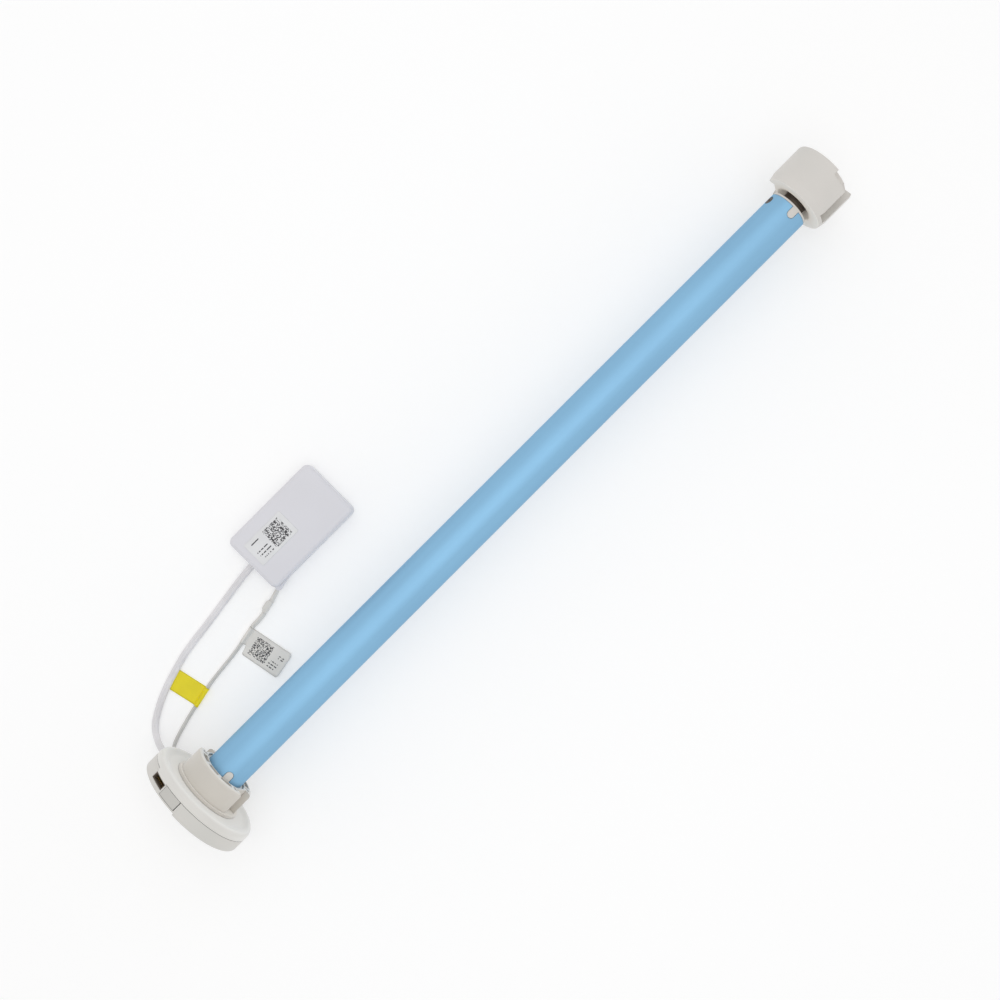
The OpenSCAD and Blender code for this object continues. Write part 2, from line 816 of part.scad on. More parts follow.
module drive_wheel() {
    color(shell_white) difference() {
        axial() rotate_extrude() polygon(concat(
            [[0, wheel_seat_x], [wheel_hole_r, wheel_seat_x], [wheel_hole_r, wheel_x + wheel_dish_depth],
             [wheel_dish_r, wheel_x]],
            arc(wheel_r - wheel_taper - wheel_round, wheel_x + wheel_round, wheel_round, -90, 0, 4),
            [[wheel_r, wheel_x + wheel_taper_len]],
            arc(wheel_r - wheel_end_round, wheel_end - wheel_end_round, wheel_end_round, 0, 90, 4),
            [[0, wheel_end]]));
        // Shaft bore with the flats that drive the wheel, and the room for the clip
        difference() {
            axial(wheel_x) cylinder(h = wheel_len, r = shaft_r + slack);
            wheel_flats();
        }
        axial(clip_x - clip_room) cylinder(h = wheel_end - clip_x + clip_room + over, r = shaft_r + 3);
        // Hollow between the hub and the wall, open at the far end, with ribs
        difference() {
            ring(wheel_seat_x + wheel_web, wheel_len, wheel_hollow_r, shaft_r + wheel_hub_wall);
            for (i = [0 : wheel_ribs - 1])
                spoke(wheel_seat_x, wheel_len, wheel_key_angle + i * 360 / wheel_ribs, wheel_rib_t,
                      0, wheel_r);
        }
        spoke(wheel_x + key_stop, wheel_len, wheel_key_angle, wheel_key_w,
              wheel_r - wheel_key_depth, wheel_r + over);
        spoke(wheel_x - over, wheel_len + 2 * over, wheel_back_angle, wheel_back_w,
              wheel_r - wheel_back_depth, wheel_r + over);
        // The wall is cut back at the far end, beside the short keyway
        sector(wheel_end - wheel_cut, wheel_len, wheel_cut_angles, wheel_r + over, wheel_cut_r);
    }
}

module wheel_clip() {
    color(bright_steel) difference() {
        ring(clip_x, clip_t, shaft_r + 2, shaft_r - flat_depth + slack);
        spoke(clip_x - over, clip_t + 2 * over, 90, 4, 0, shaft_r + 4);
    }
}

// Radio module
module module_outline(inset, from, height) {
    translate([module_x + inset, module_y + inset, from])
        rounded_plate(module_len - 2 * inset, module_w - 2 * inset, height, max(0.5, module_corner - inset));
}

module module_base() {
    color(module_white) union() {
        module_outline(0, floor_z, module_base_t);
        module_outline(module_wall + fit, floor_z, module_base_t + 1.2);
    }
}

module module_lid() {
    seam = floor_z + module_base_t + rim_gap;
    color(module_white) difference() {
        union() {
            hull() {
                for (x = [module_corner, module_len - module_corner],
                     y = [module_corner, module_w - module_corner])
                    translate([module_x + x, module_y + y, seam]) {
                        cylinder(h = module_top - seam - module_edge, r = module_corner, $fn = hull_fn);
                        cylinder(h = module_top - seam - module_edge * 0.3,
                                 r = module_corner - module_edge * 0.3, $fn = hull_fn);
                        cylinder(h = module_top - seam, r = module_corner - module_edge, $fn = hull_fn);
                    }
            }
            hull() {
                translate([module_x + flare_len, module_y + 1, seam]) cylinder(h = 6.5, r = 1, $fn = hull_fn);
                translate([module_x + 1.6, module_y - flare_out + 1.6, seam])
                    cylinder(h = 5, r = 1.6, $fn = hull_fn);
                translate([module_x + 3, module_y + 4, seam]) cylinder(h = 6.5, r = 1, $fn = hull_fn);
            }
        }
        module_outline(module_wall, floor_z, module_t - module_wall);
    }
}

module module_board() {
    z = floor_z + module_base_t + 1.2;
    color(board_green) union() {
        translate([module_x + board_inset, module_y + board_inset, z])
            cube([module_len - 2 * board_inset, module_w - 2 * board_inset, board_t]);
        translate([module_x + chip_at[0], module_y + chip_at[1], z + board_t]) cube(chip_size);
    }
}

module module_sticker() {
    color(label_white) translate([module_x + sticker_at[0], module_y + sticker_at[1], module_top])
        rounded_plate(sticker_size[0], sticker_size[1], sticker_size[2], 0.8);
}

// Routes of the leads, from the head to the module
exit_r = head_r + gland_proud;
wide_exit = [lead_exit_x, -exit_r * sin(wide_exit_angle), exit_r * cos(wide_exit_angle)];
wide_route = [
    wide_exit, [5.2, 36.2, -20.9], [5.2, 40.5, -24.5], [5.4, 44.2, -29.5], [6.4, 47.8, -33.3],
    [9.2, 51.4, -34.9], [13.4, 54.4, -34.9], [18.6, 57.4, -34.9], [24.9, 60.4, -34.8], [32.6, 63.3, -34.5],
    [41.1, 65.9, -34.5], [48.6, 68.1, -34.7], [56, 69.7, -34.9], [64.6, 71, -34.9], [73.8, 72.1, -34.9],
    [83.6, 73.5, -34.9], [93.6, 75, -34.8], [103, 76.3, -34.2], [112.6, 77.4, -32.6], [module_x, 77.9, -32]];
thin_exit = [lead_exit_x, -exit_r * sin(thin_exit_angle), exit_r * cos(thin_exit_angle)];
thin_route = [
    thin_exit, [5.3, 28.2, -29.2], [5.9, 31, -31.9], [7.8, 33.4, -33.9], [11.4, 35.3, -34.5],
    [16.2, 36.9, -34.5], [22.2, 38.6, -34.5], [28.4, 40.2, -34.5], [34.2, 41.5, -34.5], [41, 43, -34.5],
    [48, 44.5, -34.5], [54, 45.5, -34.5], [60.1, 46.2, -34.5], [66.5, 46.9, -34.5], [73, 47.6, -34.5],
    [79.5, 48.6, -34.5], [86.5, 50, -34.5], [93.5, 51.4, -34.5]];
sleeve_route = [
    [93.5, 51.4, -34.5], [98.5, 51.6, -34.5], [102.5, 51.9, -34.4], [105.2, 52.45, -34.3],
    [113.6, 54.4, -33.75], [117.5, 55.5, -33.4], [module_x, thin_entry_y, -33.2]];
splice_at = [sleeve_route[3], sleeve_route[4]];

function unit(v) = v / norm(v);
function heading(route, i) = unit(route[min(i + 1, len(route) - 1)] - route[max(i - 1, 0)]);
function sideways(t) = unit(cross([0, 0, 1], t));
function ring_points(centre, t, half_w, half_t, sides) =
    let (s = sideways(t), u = cross(t, s))
    [for (k = [0 : sides - 1]) let (a = 360 * (k + 0.5) / sides)
        centre + s * half_w * cos(a) + u * half_t * sin(a)];

// One closed tube along a route; the first and last rings stand square to what they meet
module sweep(route, half_w, half_t, sides, first = undef, last = undef) {
    n = len(route);
    points = [for (i = [0 : n - 1])
        let (start = i == 0 && !is_undef(first), end = i == n - 1 && !is_undef(last),
             t = start ? first : end ? last : heading(route, i))
        each ring_points(route[i], t, half_w, half_t, sides)];
    walls = [for (i = [0 : n - 2], k = [0 : sides - 1])
        let (a = i * sides + k, b = i * sides + (k + 1) % sides)
        each [[a, b + sides, b], [a, a + sides, b + sides]]];
    caps = [[for (k = [0 : sides - 1]) k], [for (k = [sides - 1 : -1 : 0]) (n - 1) * sides + k]];
    polyhedron(points = points, faces = concat(walls, caps));
}

module wide_lead() {
    out = unit([0, wide_exit[1], wide_exit[2]]);
    color(lead_white) sweep(wide_route, wide_lead_w / 2, wide_lead_t / 2, 8, out, [1, 0, 0]);
}

module thin_lead() {
    out = unit([0, thin_exit[1], thin_exit[2]]);
    color(lead_grey) sweep(thin_route, thin_lead_d / 2, thin_lead_d / 2, 8, out, heading(sleeve_route, 0));
}

module lead_sleeve() {
    color(lead_white)
        sweep(sleeve_route, lead_sleeve_d / 2, lead_sleeve_d / 2, 8, heading(sleeve_route, 0), [1, 0, 0]);
}

// A moulded boot over the splice in the thin lead
module splice_boot() {
    from = splice_at[0];
    to = splice_at[1];
    t = unit(to - from);
    middle = (from + to) / 2;
    bore = lead_sleeve_d / 2 + slack;
    color(lead_grey) difference() {
        sweep([middle - t * boot_len / 2, middle + t * boot_len / 2], boot_half[0], boot_half[1], 8, t, t);
        sweep([middle - t * boot_len, middle + t * boot_len], bore, bore, 8, t, t);
    }
}

// A film folded round the thin lead, with both halves lying together on the floor
module folded_film(from, to, size, side, corner) {
    width = size[0];
    reach = size[1];
    middle = (from + to) / 2;
    turn = atan2(to[1] - from[1], to[0] - from[0]);
    translate([middle[0], middle[1], floor_z]) rotate([0, 0, turn]) {
        translate([-width / 2, 0, tag_loop_r + tag_film]) rotate([0, 90, 0]) difference() {
            cylinder(h = width, r = tag_loop_r + tag_film);
            translate([0, 0, -over]) cylinder(h = width + 2 * over, r = tag_loop_r);
        }
        translate([-width / 2, side > 0 ? 0 : -reach, 0]) rounded_plate(width, reach, 2 * tag_film, corner);
    }
}

module yellow_tag() {
    color(tag_yellow) folded_film(thin_route[8], thin_route[10], yellow_size, 1, yellow_corner);
}

module white_flag() {
    color(label_white) folded_film(thin_route[15], thin_route[17], white_size, -1, white_corner);
}

head_end_cover();
head_front_cover();
setting_button();
button_switch();
head_board();
port_socket();
port_contacts();
cover_screws();
wide_lead_gland();
thin_lead_gland();
crown_adaptor();
tube_housing();
battery_sleeve();
battery_cells();
board_holder();
control_board();
motor_can();
motor_end_cap();
motor_magnets();
motor_rotor();
encoder_magnet();
sun_gear_1();
planet_1a();
planet_1b();
planet_1c();
carrier_1();
sun_gear_2();
planet_2a();
planet_2b();
planet_2c();
output_carrier();
ring_gear();
output_shaft();
output_bush();
tube_end_cap();
stake_screws();
drive_wheel();
wheel_clip();
module_base();
module_lid();
module_board();
module_sticker();
wide_lead();
thin_lead();
lead_sleeve();
splice_boot();
yellow_tag();
white_flag();
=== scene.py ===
import logging
import math
from collections.abc import Callable, Mapping, Sequence
from dataclasses import dataclass, field
from enum import Enum

import bmesh
import bpy
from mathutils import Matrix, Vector


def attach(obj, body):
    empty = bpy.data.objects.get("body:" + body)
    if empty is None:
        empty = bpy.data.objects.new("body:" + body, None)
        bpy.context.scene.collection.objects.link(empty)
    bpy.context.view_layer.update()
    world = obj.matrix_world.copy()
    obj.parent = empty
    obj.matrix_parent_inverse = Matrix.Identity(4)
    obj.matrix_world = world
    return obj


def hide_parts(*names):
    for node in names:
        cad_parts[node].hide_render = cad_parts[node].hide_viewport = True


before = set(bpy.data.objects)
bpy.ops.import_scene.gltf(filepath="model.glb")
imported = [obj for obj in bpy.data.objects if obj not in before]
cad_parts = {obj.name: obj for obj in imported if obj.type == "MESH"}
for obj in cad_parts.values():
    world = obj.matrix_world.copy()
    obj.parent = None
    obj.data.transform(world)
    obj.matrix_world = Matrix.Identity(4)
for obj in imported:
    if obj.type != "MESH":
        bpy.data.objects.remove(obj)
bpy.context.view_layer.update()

LOG = logging.getLogger("roller_motor")
MM = 0.001
MOTOR = "motor_body"
FLOOR_Z = -36.0
UP = Vector((0.0, 0.0, 1.0))
INTO_MODULE = Vector((1.0, 0.0, 0.0))
TO_BRACKET = Vector((-1.0, 0.0, 0.0))
WHITE = (1.0, 1.0, 1.0, 1.0)
SHARP_ANGLE = math.radians(35)

Point = tuple[float, float, float]
Rgb = tuple[int, int, int]
Socket = bpy.types.NodeSocket
Sockets = Mapping[str, Socket]


def millimetres(point: Sequence[float]) -> Vector:
    """Turns a point in millimetres into one in metres."""
    return Vector(point) * MM


def linear(colour: Rgb) -> tuple[float, ...]:
    """Turns a display colour, from 0 to 255, into the linear colour with alpha that a shader takes."""
    parts = (value / 255 for value in colour)
    return (*(c / 12.92 if c <= 0.04045 else ((c + 0.055) / 1.055) ** 2.4 for c in parts), 1.0)


def shade(colour: Rgb, share: float) -> Rgb:
    """Makes a display colour lighter or darker by a factor."""
    r, g, b = (max(0, min(255, round(value * share))) for value in colour)
    return (r, g, b)


def cleared(owner: bpy.types.ID) -> bpy.types.NodeTree:
    """Empties the node tree of a material or a world.

    Args:
        owner: The material or the world.

    Returns:
        The empty tree.
    """
    owner.use_nodes = True
    owner.node_tree.nodes.clear()
    return owner.node_tree


class Graph:
    """Adds and joins the nodes of one tree, for materials, groups and geometry alike."""

    def __init__(self, tree: bpy.types.NodeTree) -> None:
        """Keeps the tree that is built."""
        self.tree = tree

    def node(self, kind: str, feeds: Mapping[str | int, object] | None = None,
             **settings: object) -> bpy.types.Node:
        """Adds a node.

        Args:
            kind: Blender's name of the node's type.
            feeds: What goes into each input, by the input's name or number: a socket or a value.
            **settings: The node's own settings.

        Returns:
            The new node.
        """
        made = self.tree.nodes.new(kind)
        for name, value in settings.items():
            setattr(made, name, value)
        for name, value in (feeds or {}).items():
            self.feed(made.inputs[name], value)
        return made

    def feed(self, target: Socket, value: object) -> None:
        """Joins a socket to an input, or sets the input's value.

        Args:
            target: The input.
            value: A socket or a plain value.
        """
        if isinstance(value, bpy.types.NodeSocket):
            self.tree.links.new(value, target)
        else:
            target.default_value = value

    def math(self, operation: str, *values: object, clamp: bool = False) -> Socket:
        """Adds a Math node, whose result a clamp keeps from 0 to 1."""
        feeds = dict(enumerate(values))
        return self.node("ShaderNodeMath", feeds, operation=operation, use_clamp=clamp).outputs[0]

    def vector(self, operation: str, *values: object) -> Socket:
        """Adds a Vector Math node, whose result is a number for a dot product."""
        made = self.node("ShaderNodeVectorMath", dict(enumerate(values)), operation=operation)
        return made.outputs["Value" if operation == "DOT_PRODUCT" else "Vector"]

    def split(self, vector: Socket) -> Sequence[Socket]:
        """Gives the sockets of a vector's x, y and z."""
        return self.node("ShaderNodeSeparateXYZ", {0: vector}).outputs

    def joined(self, x: Socket, y: Socket) -> Socket:
        """Joins two numbers into a vector, with z at 0."""
        return self.node("ShaderNodeCombineXYZ", {"X": x, "Y": y}).outputs[0]

    def mix(self, factor: Socket, first: object, second: object) -> Socket:
        """Mixes two colours, by the share of the second."""
        return self.node("ShaderNodeMix", {0: factor, 6: first, 7: second}, data_type="RGBA").outputs[2]

    def span(self, value: Socket, low: float, high: float, to_low: float = 0.0,
             to_high: float = 1.0) -> Socket:
        """Turns a value's span, from low to high, smoothly into another span."""
        feeds = {"Value": value, "From Min": low, "From Max": high, "To Min": to_low, "To Max": to_high}
        return self.node("ShaderNodeMapRange", feeds, interpolation_type="SMOOTHSTEP").outputs[0]

    def noise(self, where: Socket, scale: object, detail: float, roughness: float) -> Socket:
        """Adds noise from 0 to 1, with its scale in cells to a metre."""
        feeds = {"Vector": where, "Scale": scale, "Detail": detail, "Roughness": roughness}
        return self.node("ShaderNodeTexNoise", feeds).outputs[0]

    def place(self) -> Socket:
        """Gives the object's own coordinates, in metres."""
        return self.node("ShaderNodeTexCoord").outputs["Object"]


class Surface(Graph):
    """A material's graph with its Principled shader."""

    def __init__(self, material: bpy.types.Material) -> None:
        """Empties the material and adds the shader.

        Args:
            material: The material.
        """
        super().__init__(cleared(material))
        self.shader = self.node("ShaderNodeBsdfPrincipled")
        self.node("ShaderNodeOutputMaterial", {"Surface": self.shader.outputs[0]})

    def take(self, values: Mapping[str, object]) -> None:
        """Feeds or sets the shader's inputs by name."""
        for name, value in values.items():
            self.feed(self.shader.inputs[name], value)

    def varied(self, mask: Socket, middle: float, spread: float) -> Socket:
        """Varies a value about its middle by a spread, where a mask goes from 0 to 1."""
        return self.math("MULTIPLY_ADD", mask, spread, middle - spread / 2)

    def bump(self, height: Socket, depth: float, normal: Socket) -> None:
        """Gives the shader bumps that stand on a normal, with their depth in metres."""
        feeds = {"Strength": 1.0, "Distance": depth, "Height": height, "Normal": normal}
        self.take({"Normal": self.node("ShaderNodeBump", feeds).outputs[0]})


GROUP_SOCKETS = {"value": "NodeSocketFloat", "vector": "NodeSocketVector"}


def group(name: str, inputs: Mapping[str, float], outputs: Mapping[str, str],
          fill: Callable[[Graph, Sockets], Sockets]) -> bpy.types.NodeTree:
    """Builds a shader node group.

    Args:
        name: The group's name.
        inputs: Each input's name and first value, all of them numbers.
        outputs: Each output's name, and value or vector.
        fill: Adds the nodes and gives the socket for each output.

    Returns:
        The node group.
    """
    tree = bpy.data.node_groups.new(name, "ShaderNodeTree")
    for label, value in inputs.items():
        socket = tree.interface.new_socket(name=label, in_out="INPUT", socket_type="NodeSocketFloat")
        socket.default_value = value
    for label, kind in outputs.items():
        tree.interface.new_socket(name=label, in_out="OUTPUT", socket_type=GROUP_SOCKETS[kind])
    graph = Graph(tree)
    entry = graph.node("NodeGroupInput")
    made = fill(graph, {label: entry.outputs[label] for label in inputs})
    graph.node("NodeGroupOutput", made)
    return tree


def fill_soft_edge(graph: Graph, sockets: Sockets) -> Sockets:
    """Rounds the normals at sharp edges and marks those edges.

    Args:
        graph: The group's graph.
        sockets: The group's inputs.

    Returns:
        The rounded normal and the mask of edges.
    """
    rounded = graph.node("ShaderNodeBevel", {"Radius": sockets["Radius"]}, samples=6).outputs[0]
    true = graph.node("ShaderNodeNewGeometry").outputs["Normal"]
    turned = graph.math("SUBTRACT", 1.0, graph.vector("DOT_PRODUCT", rounded, true))
    return {"Normal": rounded, "Edge": graph.span(turned, 0.01, 0.25)}


def fill_painted_shade(graph: Graph, sockets: Sockets) -> Sockets:
    """Marks seams, corners and deep places, where less light reaches, as a mask for painted shade."""
    sky = graph.node("ShaderNodeAmbientOcclusion", {"Distance": sockets["Reach"]}, samples=6)
    return {"Painted Shade": graph.span(sky.outputs["AO"], 0.75, 0.15)}


def fill_grain(graph: Graph, sockets: Sockets) -> Sockets:
    """Makes the fine grain of a moulded or painted face and the slow drift of its tone.

    Args:
        graph: The group's graph.
        sockets: The group's inputs.

    Returns:
        The grain's height, the tone from -1 to 1 and a speckle from 0 to 1.
    """
    where = graph.place()
    fine = graph.noise(where, sockets["Grain"], 3.0, 0.6)
    drift = graph.noise(where, sockets["Drift"], 2.0, 0.5)
    speckle = graph.noise(where, graph.math("MULTIPLY", sockets["Grain"], 0.35), 4.0, 0.7)
    return {"Height": fine, "Tone": graph.span(drift, 0.3, 0.7, -1.0, 1.0), "Speckle": speckle}


def fill_turning(graph: Graph, sockets: Sockets) -> Sockets:
    """Makes the rings that a lathe leaves round the motor's axis.

    Args:
        graph: The group's graph.
        sockets: The group's inputs.

    Returns:
        The height and the tone of the rings.
    """
    x, y, z = graph.split(graph.place())
    squares = graph.math("ADD", graph.math("MULTIPLY", y, y), graph.math("MULTIPLY", z, z))
    rings = graph.noise(graph.joined(x, graph.math("SQRT", squares)), sockets["Rings"], 3.0, 0.65)
    return {"Height": rings, "Tone": graph.span(rings, 0.35, 0.65, -1.0, 1.0)}


class Effect(Enum):
    """The effects that several finishes share, each with its inputs and outputs."""

    SOFT_EDGE = ("soft_edge", {"Radius": 0.0004}, {"Normal": "vector", "Edge": "value"}, fill_soft_edge)
    # Painted shade: an ambient-occlusion mask of seams, corners and recesses, which darkens the colour there.
    PAINTED_SHADE = ("painted_shade", {"Reach": 0.002}, {"Painted Shade": "value"}, fill_painted_shade)
    GRAIN = ("grain", {"Grain": 3000.0, "Drift": 30.0},
             {"Height": "value", "Tone": "value", "Speckle": "value"}, fill_grain)
    TURNING = ("turning", {"Rings": 3000.0}, {"Height": "value", "Tone": "value"}, fill_turning)

    def tree(self) -> bpy.types.NodeTree:
        """Gives the effect's node group, built on its first use."""
        return bpy.data.node_groups.get(self.value[0]) or group(*self.value)

    def place_in(self, graph: Graph, **inputs: float) -> Sockets:
        """Places the effect in a material.

        Args:
            graph: The material's graph.
            **inputs: The values of the group's inputs.

        Returns:
            The group's outputs by name.
        """
        made = graph.node("ShaderNodeGroup", node_tree=self.tree())
        for name, value in inputs.items():
            made.inputs[name].default_value = value
        return {socket.name: socket for socket in made.outputs}


BUILT: dict[str, bpy.types.Material] = {}


@dataclass(frozen=True)
class Finish:
    """A finish that a surface can have. Grain and drift are in cells to a metre, lengths in metres."""

    name: str
    colour: Rgb
    roughness: float = 0.5
    edge: float = 0.0003
    # The next three fields set painted shade: how far the occlusion mask reaches, the darker tint it paints
    # into seams, corners and recesses, and the share of that tint.
    painted_shade_reach: float = 0.0015
    painted_shade_tint: float = 0.75
    painted_shade_share: float = 0.8
    grain: float = 3200.0
    depth: float = 0.000006
    drift: float = 24.0
    drift_reach: float = 0.012
    speckle: float = 0.16

    def material(self) -> bpy.types.Material:
        """Builds the finish's material on its first use.

        Returns:
            The material.
        """
        if self.name not in BUILT:
            made = BUILT[self.name] = bpy.data.materials.new(self.name)
            self.build(Surface(made))
            made.diffuse_color = linear(self.colour)
        return BUILT[self.name]

    def build(self, surface: Surface) -> None:
        """Fills the material, in the way of each kind of finish."""
        raise NotImplementedError

    def grained(self, surface: Surface) -> Sockets:
        """Places the grain."""
        return Effect.GRAIN.place_in(surface, Grain=self.grain, Drift=self.drift)

    def softened(self, surface: Surface) -> Sockets:
        """Places the soft edges."""
        return Effect.SOFT_EDGE.place_in(surface, Radius=self.edge)

    def toned(self, surface: Surface, tone: Socket) -> Socket:
        """Lets the colour drift a little either way, with a tone from -1 to 1."""
        pale, dark = (linear(shade(self.colour, 1 + way * self.drift_reach)) for way in (1, -1))
        return surface.mix(surface.math("MULTIPLY_ADD", tone, 0.5, 0.5, clamp=True), dark, pale)

    def with_painted_shade(self, surface: Surface, colour: Socket) -> Socket:
        """Paints shade into a colour: darkens it in seams, corners and recesses, by an ambient-occlusion
        mask.
        """
        mask = Effect.PAINTED_SHADE.place_in(surface, Reach=self.painted_shade_reach)["Painted Shade"]
        return surface.mix(surface.math("MULTIPLY", mask, self.painted_shade_share), colour,
                           linear(shade(self.colour, self.painted_shade_tint)))


@dataclass(frozen=True)
class MouldedPlastic(Finish):
    """Injection-moulded plastic with a fine grain, softened edges and maybe painted light: a paler colour on
    faces that face along the motor's axis.
    """

    polish: float = 0.1
    ior: float = 1.46
    specular: float = 0.4
    sheen: float = 0.0
    sheen_roughness: float = 0.5
    # A paler colour painted as light on faces that face along the motor's axis, and the span of the normal
    # over which it comes in.
    ends: Rgb | None = None
    painted_light_span: tuple[float, float] = (0.55, 0.95)

    def build(self, surface: Surface) -> None:
        """Fills the material with moulded plastic.

        Args:
            surface: The material's graph and shader.
        """
        grain, edge = self.grained(surface), self.softened(surface)
        colour = self.toned(surface, grain["Tone"])
        # Painted light: faces that face along the axis get the paler colour.
        if self.ends is not None:
            normal = surface.node("ShaderNodeTexCoord").outputs["Normal"]
            along = surface.math("ABSOLUTE", surface.split(normal)[0])
            colour = surface.mix(surface.span(along, *self.painted_light_span), colour, linear(self.ends))
        rough = surface.varied(grain["Speckle"], self.roughness, self.speckle)
        if self.polish:
            rough = surface.math("SUBTRACT", rough, surface.math("MULTIPLY", edge["Edge"], self.polish))
        # The base colour carries painted shade in seams, corners and recesses.
        surface.take({"Base Color": self.with_painted_shade(surface, colour), "Roughness": rough, "IOR": self.ior,
                      "Specular IOR Level": self.specular, "Sheen Weight": self.sheen,
                      "Sheen Roughness": self.sheen_roughness})
        surface.bump(grain["Height"], self.depth, edge["Normal"])


@dataclass(frozen=True)
class LeadSheath(MouldedPlastic):
    """Soft extruded sheath of a lead, with a dull sheen."""

    # The sheath's own tint and share of painted shade in seams and corners.
    painted_shade_tint: float = 0.7
    painted_shade_share: float = 0.6
    grain: float = 2200.0
    depth: float = 0.000008
    drift: float = 60.0
    drift_reach: float = 0.02
    speckle: float = 0.14
    polish: float = 0.0
    ior: float = 1.45
    specular: float = 0.5
    sheen: float = 0.15
    sheen_roughness: float = 0.4


@dataclass(frozen=True)
class TubePaint(Finish):
    """Satin paint on a metal tube, with orange peel, faint marks drawn along it and painted shade that
    darkens its sharp edges.
    """

    # The share of painted shade in seams and corners.
    painted_shade_share: float = 0.9
    depth: float = 0.00001
    drift: float = 14.0
    drift_reach: float = 0.014
    speckle: float = 0.08
    peel: float = 700.0
    draw: float = 260.0
    draw_stretch: Point = (0.02, 1.0, 1.0)
    draw_height: float = 0.3
    metallic: float = 0.4
    rim_tint: Rgb = (150, 190, 216)
    # A dark blue-grey painted along sharp edges as shade, and how strongly the edge mask paints it.
    edge_shade_colour: Rgb = (74, 84, 92)
    edge_shade_strength: float = 1.7

    def build(self, surface: Surface) -> None:
        """Fills the material with satin paint.

        Args:
            surface: The material's graph and shader.
        """
        where, edge = surface.place(), self.softened(surface)
        peel = surface.noise(where, self.peel, 2.0, 0.45)
        drawn = surface.noise(surface.vector("MULTIPLY", where, self.draw_stretch), self.draw, 3.0, 0.6)
        drift = surface.noise(where, self.drift, 2.0, 0.5)
        tone = surface.math("ADD", surface.span(drift, 0.3, 0.7, -0.6, 0.6),
                            surface.span(drawn, 0.3, 0.7, -0.4, 0.4))
        painted = self.with_painted_shade(surface, self.toned(surface, tone))
        # Painted shade: the sharp edges of the tube's slots and ends darken to a thin dark outline.
        edge_shade_mask = surface.math("MULTIPLY", edge["Edge"], self.edge_shade_strength, clamp=True)
        surface.take({"Base Color": surface.mix(edge_shade_mask, painted, linear(self.edge_shade_colour)),
                      "Roughness": surface.varied(drawn, self.roughness, self.speckle),
                      "Metallic": self.metallic, "IOR": 1.5, "Specular IOR Level": 0.2,
                      "Specular Tint": linear(self.rim_tint)})
        height = surface.math("MULTIPLY_ADD", drawn, self.draw_height, peel)
        surface.bump(height, self.depth, edge["Normal"])


@dataclass(frozen=True)
class TurnedMetal(Finish):
    """Bare metal with the rings of a lathe and a thin stain."""

    grain: float = 1500.0
    depth: float = 0.000004
    drift: float = 160.0
    drift_reach: float = 0.08
    speckle: float = 0.2
    rings: float = 3200.0
    stain: Rgb = (92, 74, 58)
    stained: float = 0.25

    def build(self, surface: Surface) -> None:
        """Fills the material with turned metal.

        Args:
            surface: The material's graph and shader.
        """
        turning = Effect.TURNING.place_in(surface, Rings=self.rings)
        grain, edge = self.grained(surface), self.softened(surface)
        film = surface.math("MULTIPLY", surface.span(grain["Tone"], -0.4, 1.0), self.stained)
        colour = surface.mix(film, self.toned(surface, turning["Tone"]), linear(self.stain))
        rough = surface.varied(grain["Speckle"], self.roughness, self.speckle)
        surface.take({"Base Color": colour, "Roughness": rough, "Metallic": 1.0})
        surface.bump(turning["Height"], self.depth, edge["Normal"])


@dataclass(frozen=True)
class Film(Finish):
    """Smooth film with a light coat and shallow waves."""

    grain: float = 900.0
    depth: float = 0.00012
    drift: float = 110.0
    drift_reach: float = 0.015
    speckle: float = 0.12
    waves: float = 170.0
    coat: float = 0.05
    coat_roughness: float = 0.25

    def build(self, surface: Surface) -> None:
        """Fills the material with film.

        Args:
            surface: The material's graph and shader.
        """
        grain, edge = self.grained(surface), self.softened(surface)
        surface.take({"Base Color": self.printed(surface, self.toned(surface, grain["Tone"])),
                      "Roughness": surface.varied(grain["Speckle"], self.roughness, self.speckle),
                      "IOR": 1.48, "Coat Weight": self.coat, "Coat Roughness": self.coat_roughness})
        surface.bump(surface.noise(surface.place(), self.waves, 1.0, 0.4), self.depth, edge["Normal"])

    def printed(self, surface: Surface, paper: Socket) -> Socket:
        """Gives the paper's colour as it is, because plain film has no print."""
        return paper


